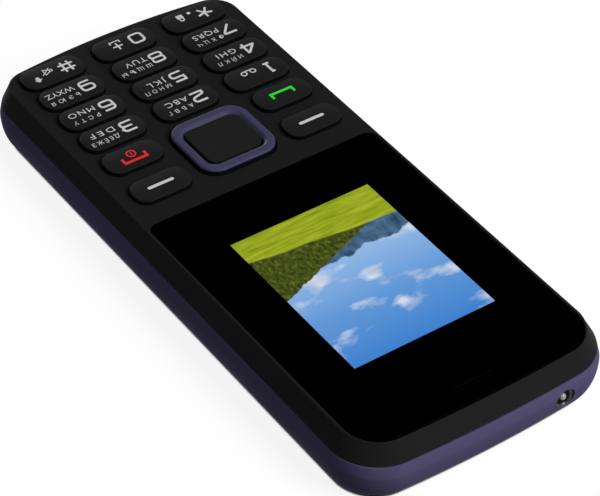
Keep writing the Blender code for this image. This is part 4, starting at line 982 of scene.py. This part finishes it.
def along_y(name, outline, start, end, skin=PURPLE):
    return loft(name, [[Vector((x, y, z)) for x, z in outline] for y in (start, end)], skin)


def slot_outline(x, y):
    def outline(grow):
        half_x, half_y = SLOT_LENGTH / 2 + grow, SLOT_WIDTH / 2 + grow
        return rounded(half_x, half_y, half_y, x, y)

    return outline


def downward(outline_at, high):
    """A cutter whose mouth in the back widens by a small rounding."""
    rings = [level(outline_at(OPENING_ROUNDING), -OVERRUN)]
    for rise, spread in reversed(quarter()):
        z = OPENING_ROUNDING * (1 - rise)
        rings.append(level(outline_at(OPENING_ROUNDING * spread), z))
    rings.append(level(outline_at(0.0), high))
    return rings


def back_cover():
    """The coloured shell that wraps the back, sides and ends."""
    rings = lower_rings(0.0, 0.0)
    for rise, spread in quarter():
        z = COVER_RIM_Z - RIM_ROUNDING + RIM_ROUNDING * rise
        rings.append(upper_ring(z, RIM_ROUNDING * spread))
    shell = loft("back_cover", rings, PURPLE)
    inner = lower_rings(COVER_WALL, COVER_WALL)
    rim = upper_ring(COVER_RIM_Z, COVER_WALL)
    inner.append([point + Vector((0.0, 0.0, OVERRUN)) for point in rim])
    carve(shell, loft("cover_hollow", inner, PURPLE))
    outside = BODY_HALF_LENGTH + OVERRUN
    inside = BODY_HALF_LENGTH - END_ROUNDING
    carve(shell, along_y("torch_hole", circle(TORCH_RADIUS, TORCH_X, TORCH_Z), inside, outside))
    margin = USB_OPENING_MARGIN
    half_x, half_z = USB_WIDTH / 2 + margin, USB_HEIGHT / 2 + margin
    usb = rounded(half_x, half_z, USB_CORNER + margin, 0.0, MOUNT_Z - USB_HEIGHT / 2)
    carve(shell, along_y("usb_opening", usb, -outside, -inside))
    jack = circle(JACK_RADIUS + JACK_OPENING_MARGIN, JACK_X, MOUNT_Z - JACK_BODY_HEIGHT / 2)
    carve(shell, along_y("jack_opening", jack, -outside, -inside))
    mic = circle(MIC_HOLE_RADIUS, MIC_X, MOUNT_Z - MIC_LENGTH / 2)
    carve(shell, along_y("mic_hole", mic, -outside, -inside))
    notch = rectangle(NOTCH_WIDTH / 2, OVERRUN + COVER_WALL, NOTCH_X, -BODY_HALF_LENGTH)
    carve(shell, prism("pry_notch", notch, COVER_RIM_Z - NOTCH_DEPTH, COVER_RIM_Z + OVERRUN, PURPLE))
    slots = []
    for k in range(SLOT_COUNT):
        y = SPEAKER_Y + (k - (SLOT_COUNT - 1) / 2) * SLOT_PITCH
        slots.append(downward(slot_outline(SPEAKER_X, y), COVER_WALL + OVERRUN))
    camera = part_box("camera_window")
    middle = ((camera[0][0] + camera[1][0]) / 2, (camera[0][1] + camera[1][1]) / 2)
    seat_top = CAMERA_WINDOW_SINK + CAMERA_WINDOW_THICKNESS + GAP

    def seat(grow):
        return circle(CAMERA_WINDOW_RADIUS + GAP + grow, *middle)

    cut_openings(shell, slots + [downward(seat, seat_top)], "back_openings")
    sight = circle(CAMERA_SIGHT_RADIUS, *middle)
    carve(shell, prism("camera_sight", sight, seat_top - GAP, COVER_WALL + OVERRUN, PURPLE))
    smooth(shell)
    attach(shell, "battery_cover")
    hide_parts("battery_cover")


def turned(name, profile, skin, closed=False):
    """A round body on the torch's axis through pairs of radius and y."""
    rings = []
    for radius, y in profile:
        rings.append([Vector((x, y, z)) for x, z in circle(radius, TORCH_X, TORCH_Z)])
    return loft(name, rings, skin, closed)


def torch_front():
    """The stepped bezel in the cover's torch hole, and the small lens in its dish."""
    end = BODY_HALF_LENGTH - TOP_BOW * (TORCH_X / BODY_HALF_WIDTH) ** 2
    front = end - TORCH_BEZEL_SINK
    back = front - TORCH_BEZEL_DEPTH
    step = front - TORCH_BEZEL_STEP
    dish = step - TORCH_BEZEL_STEP
    profile = [
        (TORCH_RADIUS, back),
        (TORCH_RADIUS, step),
        (TORCH_BEZEL_LIP + TORCH_BEZEL_STEP, front),
        (TORCH_BEZEL_LIP, front),
        (TORCH_DISH_RADIUS, step),
        (TORCH_LENS_RADIUS, dish),
        (TORCH_LENS_RADIUS, back),
    ]
    bezel = turned("torch_bezel", profile, TORCH_BEZEL, closed=True)
    # The dish around the lens takes the darker side material: painted shade in the recess.
    bezel.data.materials.append(KEY_SIDE_SHADE)
    for face in bezel.data.polygons:
        x, z = face.center.x - TORCH_X, face.center.z - TORCH_Z
        if math.hypot(x, z) < TORCH_DISH_RADIUS:
            face.material_index = 1
    dome = [(TORCH_LENS_RADIUS, back)]
    for rise, spread in quarter(FINE_EDGE_STEPS)[:-1]:
        dome.append((TORCH_LENS_RADIUS * (1 - spread), dish + TORCH_LENS_RISE * rise))
    lens = turned("torch_lens", dome, TORCH_LENS)
    for made, slot in ((bezel, "purple_plastic"), (lens, "led_epoxy")):
        smooth(made)
        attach(made, "battery_cover")


# Printing on the keys


def soften(points, radius, closed=False):
    """A polyline with its inner corners rounded by radius."""
    count = len(points)
    soft = []
    for k, point in enumerate(points):
        if not closed and k in (0, count - 1):
            soft.append(Vector(point))
            continue
        here = Vector(point)
        before = Vector(points[k - 1]) - here
        after = Vector(points[(k + 1) % count]) - here
        reach = min(radius, before.length / 2, after.length / 2)
        if reach == 0:
            soft.append(here)
            continue
        start = here + before.normalized() * reach
        end = here + after.normalized() * reach
        for j in range(SOFTEN_STEPS + 1):
            t = j / SOFTEN_STEPS
            soft.append(start * (1 - t) ** 2 + here * 2 * t * (1 - t) + end * t**2)
    return soft


def ribbon(points, width, closed=False):
    """The outline on each side of a polyline, mitred at its corners."""
    count = len(points)
    sides = []
    for k, point in enumerate(points):
        if closed or 0 < k < count - 1:
            before = (point - points[k - 1]).normalized()
            after = (points[(k + 1) % count] - point).normalized()
        elif k == 0:
            before = after = (points[1] - point).normalized()
        else:
            before = after = (point - points[k - 1]).normalized()
        along = (before + after).normalized()
        across = Vector((-along.y, along.x))
        reach = width / 2 / max(along.dot(after), 0.5)
        sides.append((point + across * reach, point - across * reach))
    return sides


class Print:
    """Ink on the top of one key, drawn from the key's middle."""

    def __init__(self, key, skin):
        self.key = key
        self.skin = skin
        self.place, self.half_x = key_places()[key]
        self.bm = bmesh.new()
        self.layer = 0

    def settle(self, x, y, upper):
        z = key_height(x, y, self.half_x)
        z += PRINT_LIFT + self.layer * PRINT_LAYER if upper else -PRINT_SINK
        return (self.place[0] + x, self.place[1] + y, z)

    def row(self, outline, upper):
        return [self.bm.verts.new(self.settle(x, y, upper)) for x, y in outline]

    def slab(self, outer, inner=None):
        """A closed flat shape; inner makes it a ring between two outlines of equal length."""
        self.layer += 1
        tops, feet = self.row(outer, True), self.row(outer, False)
        rows = (tops, feet)
        if inner is None:
            self.bm.faces.new(tops)
            self.bm.faces.new(feet)
        else:
            inner_tops, inner_feet = self.row(inner, True), self.row(inner, False)
            rows = (tops, feet, inner_feet, inner_tops, tops)
        for low, high in zip(rows, rows[1:]):
            bridge(self.bm, low, high)

    def stroke(self, points, width, radius=0.0, closed=False):
        path = soften(points, radius, closed=closed)
        sides = ribbon(path, width, closed)
        left = [side[0] for side in sides]
        right = [side[1] for side in sides]
        if closed:
            self.slab(left, right)
        else:
            self.slab(left + right[::-1])

    def words(self, text, left, right, low, style):
        """Letters from left to right on a line at low, spaced to fill it."""
        font = bpy.data.curves.new("words", "FONT")
        font.body = text
        font.resolution_u = LETTER_STEPS
        font.size = style["height"] / style["cap_share"]
        font.offset = style["weight"]
        font.extrude = GAP
        made = bpy.data.objects.new("words", font)
        bpy.context.collection.objects.link(made)
        widths = []
        for spacing in (1.0, 2.0):
            font.space_character = spacing
            bpy.context.view_layer.update()
            widths.append(made.dimensions.x)
        extra = right - left - widths[0]
        stretch = 1 + style["widen_share"] * extra / widths[0]
        wanted = (right - left) / stretch
        font.space_character = 1 + (wanted - widths[0]) / (widths[1] - widths[0])
        bpy.context.view_layer.update()
        shaped = made.evaluated_get(bpy.context.evaluated_depsgraph_get())
        mesh = bpy.data.meshes.new_from_object(shaped)
        start = min(vertex.co.x for vertex in mesh.vertices)
        for vertex in mesh.vertices:
            x = left + (vertex.co.x - start) * stretch
            vertex.co = self.settle(x, low + vertex.co.y, vertex.co.z > 0)
        self.bm.from_mesh(mesh)
        bpy.data.objects.remove(made, do_unlink=True)
        bpy.data.meshes.remove(mesh)

    def done(self, name):
        made = mesh_object(name, self.bm, self.skin)
        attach(made, self.key)


# Strokes of each number in a unit square: corners round, corners square, or a rounded loop
NUMBER_STROKES = {
    "0": [("loop", [(0, 0), (1, 0), (1, 1), (0, 1)])],
    "1": [("square", [(0.0, 1), (0.54, 1), (0.54, 0)]), ("square", [(-0.15, 0), (1.1, 0)])],
    "2": [("round", [(0, 1), (1, 1), (1, 0.54), (0, 0.30), (0, 0)]), ("square", [(-0.1, 0), (1, 0)])],
    "3": [
        ("round", [(0, 1), (1, 1), (1, 0.52), (0.14, 0.52)]),
        ("round", [(0.6, 0.52), (1, 0.48), (1, 0), (0, 0)]),
    ],
    "4": [
        ("square", [(0.8, -0.1), (0.8, 1.08)]),
        ("square", [(0.72, 1), (0, 0.3)]),
        ("square", [(-0.1, 0.24), (1.1, 0.24)]),
    ],
    "5": [
        ("square", [(0.95, 1), (0.04, 1), (0.04, 0.58), (0.6, 0.58)]),
        ("round", [(0.5, 0.58), (1, 0.58), (1, 0), (0, 0)]),
    ],
    "6": [
        ("round", [(0.92, 1), (0, 1), (0, 0), (1, 0), (1, 0.58), (0.4, 0.58)]),
        ("square", [(0.5, 0.58), (0, 0.58)]),
    ],
    "7": [("round", [(0, 1), (1, 1), (1, 0.84), (0.24, 0)])],
    "8": [
        ("loop", [(0, 0.5), (0, 1), (1, 1), (1, 0.5)]),
        ("loop", [(0, 0), (1, 0), (1, 0.5), (0, 0.5)]),
    ],
    "9": [
        ("round", [(0.08, 0), (1, 0), (1, 1), (0, 1), (0, 0.42), (0.6, 0.42)]),
        ("square", [(0.5, 0.42), (1, 0.42)]),
    ],
}
NUMBER_WIDTH = 0.00282
NUMBER_HEIGHT = 0.00296
NUMBER_STROKE = 0.00045
NUMBER_CORNER = 0.0007
NUMBER_MIDDLE_Y = -0.00005
NUMBER_MIDDLES_X = (-0.00298, -0.00272, -0.00302)
ONE_WIDTH = 0.0014
ONE_MIDDLE_X = -0.0028

# Letters beside each number, with where they start and end
UPPER_LETTERS = {
    "2": ("АБВГ", -0.00075, 0.00438),
    "3": ("ДЕЁЖЗ", -0.00055, 0.00495),
    "4": ("ИЙКЛ", -0.00075, 0.00430),
    "5": ("МНОП", -0.00050, 0.00470),
    "6": ("РСТУ", -0.00075, 0.00445),
    "7": ("ФХЦЧ", -0.00113, 0.00420),
    "8": ("ШЩЪЫ", -0.00083, 0.00525),
    "9": ("ЬЭЮЯ", -0.00082, 0.00488),
}
LOWER_LETTERS = {
    "2": ("ABC", -0.00083, 0.00363),
    "3": ("DEF", -0.00062, 0.00413),
    "4": ("GHI", -0.00058, 0.00337),
    "5": ("JKL", -0.00055, 0.00330),
    "6": ("MNO", -0.00075, 0.00438),
    "7": ("PQRS", -0.00120, 0.00400),
    "8": ("TUV", -0.00083, 0.00345),
    "9": ("WXYZ", -0.00075, 0.00488),
}
UPPER_LOW = 0.00082
LOWER_LOW = -0.00143
FIVE_LIFT = 0.00034  # the 5 key's lower letters stand higher
# cap_share is the height of a capital in the built-in letters, per unit of size
UPPER_STYLE = {"height": 0.00096, "cap_share": 0.728, "weight": -0.00001, "widen_share": 0.1}
LOWER_STYLE = {"height": 0.00130, "cap_share": 0.682, "weight": -0.00001, "widen_share": 0.5}


def number(ink, label, column):
    """A squared number at the left of its key."""
    width = ONE_WIDTH if label == "1" else NUMBER_WIDTH
    middle = ONE_MIDDLE_X if label == "1" else NUMBER_MIDDLES_X[column]
    span_x, span_y = width - NUMBER_STROKE, NUMBER_HEIGHT - NUMBER_STROKE
    for kind, points in NUMBER_STROKES[label]:
        path = []
        for u, v in points:
            path.append((middle + (u - 0.5) * span_x, NUMBER_MIDDLE_Y + (v - 0.5) * span_y))
        corner = 0.0 if kind == "square" else NUMBER_CORNER
        ink.stroke(path, NUMBER_STROKE, corner, closed=kind == "loop")


def print_numbers():
    for k in range(1, 10):
        name = f"key_{k}"
        ink = Print(name, WHITE_INK)
        number(ink, str(k), (k - 1) % 3)
        if k == 1:
            voicemail(ink)
        else:
            ink.words(*UPPER_LETTERS[str(k)], UPPER_LOW, UPPER_STYLE)
            lift = FIVE_LIFT if k == 5 else 0.0
            ink.words(*LOWER_LETTERS[str(k)], LOWER_LOW + lift, LOWER_STYLE)
        ink.done(f"print_{k}")


VOICEMAIL_X = (0.00022, 0.00206)
VOICEMAIL_Y = -0.00085
VOICEMAIL_RADIUS = 0.00052
FINE_STROKE = 0.00023


def ring_shape(ink, x, y, radius, width):
    outer = circle(radius + width / 2, x, y, INK_RING_STEPS)
    ink.slab(outer, circle(radius - width / 2, x, y, INK_RING_STEPS))


def voicemail(ink):
    """Two loops on a line."""
    for x in VOICEMAIL_X:
        ring_shape(ink, x, VOICEMAIL_Y, VOICEMAIL_RADIUS, FINE_STROKE)
    y = VOICEMAIL_Y - VOICEMAIL_RADIUS
    ink.stroke([(VOICEMAIL_X[0], y), (VOICEMAIL_X[1], y)], FINE_STROKE)


STAR_MIDDLE = (-0.00215, 0.00035)
STAR_ARMS = ((90, 0.00130), (17, 0.00150), (163, 0.00150), (-55, 0.00160), (-125, 0.00160))
STAR_STROKE = 0.00042
DOT_PLACE = (0.00040, -0.00110)
DOT_RADIUS = 0.00036
LOCK_X = 0.00243
LOCK_BODY = (0.00064, 0.00053)  # half width and half height
LOCK_BODY_Y = -0.00100
LOCK_CORNER = 0.00012
SHACKLE_RADIUS = 0.00038
SHACKLE_RISE = 0.00042
KEYHOLE_RADIUS = 0.00020


def print_star():
    """A five-armed star, a dot and a padlock."""
    ink = Print("key_star", WHITE_INK)
    x, y = STAR_MIDDLE
    for angle, length in STAR_ARMS:
        a = math.radians(angle)
        ink.stroke([(x, y), (x + length * math.cos(a), y + length * math.sin(a))], STAR_STROKE)
    ink.slab(circle(DOT_RADIUS, *DOT_PLACE, DOT_STEPS))
    half_x, half_y = LOCK_BODY
    keyhole = (KEYHOLE_RADIUS / 2, KEYHOLE_RADIUS, KEYHOLE_RADIUS / 2)
    where = (LOCK_X, LOCK_BODY_Y, INK_CORNER_STEPS)
    ink.slab(rounded(half_x, half_y, LOCK_CORNER, *where), rounded(*keyhole, *where))
    foot = LOCK_BODY_Y + half_y
    rise = foot + SHACKLE_RISE
    bend = [(LOCK_X + SHACKLE_RADIUS, foot)]
    bend += arc((LOCK_X, rise), SHACKLE_RADIUS, 0, SHACKLE_STEPS)
    bend += arc((LOCK_X, rise), SHACKLE_RADIUS, 90, SHACKLE_STEPS)[1:]
    bend.append((LOCK_X - SHACKLE_RADIUS, foot))
    ink.stroke(bend, FINE_STROKE)
    ink.done("print_star")


PLUS_MIDDLE = (0.00138, 0.00022)
PLUS_HALF = 0.00098
PLUS_STROKE = 0.00032
SPACE_MARK = (0.00042, 0.00234, -0.00134, -0.00070)  # left, right, low, high


def print_zero():
    """The zero, a plus and a space mark."""
    ink = Print("key_0", WHITE_INK)
    number(ink, "0", 1)
    x, y = PLUS_MIDDLE
    ink.stroke([(x - PLUS_HALF, y), (x + PLUS_HALF, y)], PLUS_STROKE)
    ink.stroke([(x, y - PLUS_HALF), (x, y + PLUS_HALF)], PLUS_STROKE)
    left, right, low, high = SPACE_MARK
    ink.stroke([(left, high), (left, low), (right, low), (right, high)], FINE_STROKE)
    ink.done("print_0")


HASH_MIDDLE = (-0.00290, 0.00005)
HASH_HALF = 0.00146
HASH_BAR_SHARE = 0.43
HASH_STROKE = 0.00040
MUTE_BOX = (-0.00014, 0.00034, -0.00070, -0.00020)  # left, right, low, high
MUTE_CONE = (0.00140, 0.00078)  # how far right it reaches, and its height
MUTE_SLASH = (0.00012, -0.00128, 0.00200, 0.00022)  # x and y of its two ends
MUTE_STROKE = 0.00016
ARROW_MIDDLE_X = 0.00330
ARROW_TOP = 0.00152
ARROW_HALF = 0.00074
ARROW_NECK = 0.00078
ARROW_STEM = (0.00034, 0.00008)  # half width and foot


def print_hash():
    """The hash sign, a silenced speaker and an arrow."""
    ink = Print("key_hash", WHITE_INK)
    x, y = HASH_MIDDLE
    bar = HASH_HALF * HASH_BAR_SHARE
    for side in (-bar, bar):
        ink.stroke([(x + side, y - HASH_HALF), (x + side, y + HASH_HALF)], HASH_STROKE)
        ink.stroke([(x - HASH_HALF, y + side), (x + HASH_HALF, y + side)], HASH_STROKE)
    left, right, low, high = MUTE_BOX
    reach, tall = MUTE_CONE
    middle = (low + high) / 2
    ink.stroke([(left, low), (left, high), (right, high), (right, low)], MUTE_STROKE, closed=True)
    cone = [(right, low), (right, high), (reach, middle + tall), (reach, middle - tall)]
    ink.stroke(cone, MUTE_STROKE, closed=True)
    ink.stroke([MUTE_SLASH[:2], MUTE_SLASH[2:]], MUTE_STROKE)
    x = ARROW_MIDDLE_X
    half, foot = ARROW_STEM
    head = [(x - ARROW_HALF, ARROW_NECK), (x, ARROW_TOP), (x + ARROW_HALF, ARROW_NECK)]
    ink.slab(head + [(x + half, ARROW_NECK), (x + half, foot), (x - half, foot), (x - half, ARROW_NECK)])
    ink.done("print_hash")


SOFT_BAR = (0.00260, 0.00032)  # half width and half height
BRACKET_HALF = 0.00243
BRACKET_STROKE = 0.00056
BRACKET_END_STROKE = 0.00050
CALL_LOW, CALL_HIGH = -0.00080, 0.00073
END_LOW, END_HIGH = -0.00006, 0.00150
POWER_PLACE = (0.0, -0.00058)
POWER_RADIUS = 0.00080
POWER_STROKE = 0.00026
POWER_TICK = 0.00035


def bracket(ink, low, high, bar_y):
    """A square bracket lying down, its bar at bar_y."""
    ends = BRACKET_HALF - BRACKET_END_STROKE / 2
    ink.stroke([(-BRACKET_HALF, bar_y), (BRACKET_HALF, bar_y)], BRACKET_STROKE)
    for x in (-ends, ends):
        ink.stroke([(x, low), (x, high)], BRACKET_END_STROKE)


BUMP_PLACES = ((-0.00495, 0.0), (0.00485, -0.0001))
BUMP_RADIUS = 0.00036
BUMP_RISE = 0.00014


def tactile_bumps():
    """The two small domes that a thumb finds on the 5 key."""
    place, half_x = key_places()["key_5"]
    bm = bmesh.new()
    for x, y in BUMP_PLACES:
        z = key_height(x, y, half_x)
        middle = (place[0] + x, place[1] + y)
        rings = [level(circle(BUMP_RADIUS, *middle, DOT_STEPS), z - PRINT_SINK)]
        for rise, spread in quarter(BUMP_STEPS)[:-1]:
            outline = circle(BUMP_RADIUS * (1 - spread), *middle, DOT_STEPS)
            rings.append(level(outline, z + BUMP_RISE * rise))
        add_loft(bm, rings)
    bumps = mesh_object("key_5_bumps", bm, KEY_BLACK)
    smooth(bumps)
    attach(bumps, "key_5")


def print_side_keys():
    for name in ("key_soft_left", "key_soft_right"):
        ink = Print(name, WHITE_INK)
        half_x, half_y = SOFT_BAR
        ink.slab(rounded(half_x, half_y, half_y, steps=INK_CORNER_STEPS))
        ink.done("print_" + name[4:])
    ink = Print("key_call", GREEN_INK)
    bracket(ink, CALL_LOW, CALL_HIGH, CALL_LOW + BRACKET_STROKE / 2)
    ink.done("print_call")
    ink = Print("key_end", RED_INK)
    bracket(ink, END_LOW, END_HIGH, END_HIGH - BRACKET_STROKE / 2)
    x, y = POWER_PLACE
    ring_shape(ink, x, y, POWER_RADIUS, POWER_STROKE)
    ink.stroke([(x, y - POWER_TICK), (x, y + POWER_TICK)], POWER_STROKE)
    ink.done("print_end")


def build():
    dress_nodes()
    front_shell()
    window()
    keys()
    nav_ring()
    centre_key()
    back_cover()
    torch_front()
    print_numbers()
    print_star()
    print_zero()
    print_hash()
    print_side_keys()
    tactile_bumps()


build()

# Camera, light and floor
CAMERA_PLACE = (0.190555, 0.268540, 0.295616)
CAMERA_TURN = (48.2340, -0.9178, 145.0376)
CAMERA_LENS = 154.626
SENSOR = 36.0
FLOOR_HALF = 1.5
FLOOR_Z = -0.00002  # just clear of the back
FLOOR_COLOUR = grey(0.14)
FLOOR_GLOW = 0.88
FILL = 0.22
WALL_SINE = 0.10  # the white wall ends here
CEILING_SINE = 0.45  # and the dark ceiling starts here
CEILING_SHARE = 0.02
CONTACT_SHADOW_REACH = 0.0006  # how far the painted contact shadow under the body's edge reaches
CONTACT_SHADOW_SHARES = (0.5, 0.88)  # open shares at which the painted contact shadow turns from dark to white
KEY_LIGHT = {"place": (-0.5, 1.0, 1.0), "size": (0.8, 0.8), "power": 24.0}
LOW_FILL = {"place": (-0.2, -1.3, 0.11), "size": (0.8, 0.16), "power": 7.0}
WHITE = plain(grey(1.0))


def camera():
    data = bpy.data.cameras.new("camera")
    data.lens = CAMERA_LENS
    data.sensor_width = SENSOR
    made = bpy.data.objects.new("camera", data)
    made.location = CAMERA_PLACE
    made.rotation_euler = [math.radians(angle) for angle in CAMERA_TURN]
    bpy.context.collection.objects.link(made)
    bpy.context.scene.camera = made


def soft_box(name, place, size, power):
    """A rectangular light that faces the middle of the scene."""
    data = bpy.data.lights.new(name, "AREA")
    data.shape = "RECTANGLE"
    data.size, data.size_y = size
    data.energy = power
    made = bpy.data.objects.new(name, data)
    made.location = place
    made.rotation_euler = (-Vector(place)).to_track_quat("-Z", "Y").to_euler()
    bpy.context.collection.objects.link(made)


def seen_share(made, path):
    """1 for what the camera, a mirror or clear glass sees, 0 for diffuse light."""
    mirrored = made.math("MAXIMUM", path.outputs["Is Glossy Ray"], path.outputs["Is Transmission Ray"])
    return made.math("MAXIMUM", path.outputs["Is Camera Ray"], mirrored)


def world():
    """A white backdrop under a dark ceiling, with a low even light."""
    bpy.context.scene.world = bpy.data.worlds.new("studio")
    made = Nodes("studio", bpy.context.scene.world)
    path = made.add("LightPath")
    seen = seen_share(made, path)
    rise = made.add("SeparateXYZ", Vector=made.add("TexCoord").outputs["Generated"]).outputs["Z"]
    wall = made.spread(rise, WALL_SINE, CEILING_SINE, 1.0, CEILING_SHARE)
    shown = made.math("MAXIMUM", wall, path.outputs["Is Camera Ray"])
    light = made.tree.nodes["Background"]
    light.inputs["Color"].default_value = WHITE
    light.inputs["Strength"].default_value = FILL
    backdrop = made.add("Background", Color=WHITE, Strength=shown)
    mix = made.add("MixShader", Fac=seen)
    made.put(mix.inputs[1], light.outputs[0])
    made.put(mix.inputs[2], backdrop.outputs[0])
    made.put(made.tree.nodes["World Output"].inputs["Surface"], mix.outputs[0])


def floor():
    """A pale floor that is white to the camera and keeps the shadow, with a painted contact shadow under the
    body's edge.
    """
    made = Nodes("floor_white")
    seen = seen_share(made, made.add("LightPath"))
    tint = made.noise(FLOOR_TINT_SIZE, 2.0)
    # Painted contact shadow: ambient occlusion darkens the glow and the colour where the body is close.
    contact = made.add("AmbientOcclusion", {"samples": 8}, Distance=CONTACT_SHADOW_REACH).outputs["AO"]
    clear = made.spread(contact, *CONTACT_SHADOW_SHARES, 0.0, 1.0)
    glow = made.math("MULTIPLY", seen, clear)
    pale = made.mix(tint, plain(scaled(FLOOR_COLOUR, 0.98)), plain(scaled(FLOOR_COLOUR, 1.02)))
    made.set(
        Base_Color=made.mix(clear, plain(grey(0.0)), pale),
        Roughness=0.9,
        Specular_IOR_Level=0.0,
        Emission_Color=WHITE,
        Emission_Strength=made.math("MULTIPLY", glow, FLOOR_GLOW),
    )
    bm = bmesh.new()
    bm.faces.new([bm.verts.new(point) for point in level(rectangle(FLOOR_HALF, FLOOR_HALF), FLOOR_Z)])
    mesh_object("floor", bm, made.material)


camera()
world()
floor()
soft_box("key_light", **KEY_LIGHT)
soft_box("low_fill", **LOW_FILL)
bpy.context.scene.view_settings.view_transform = "Standard"
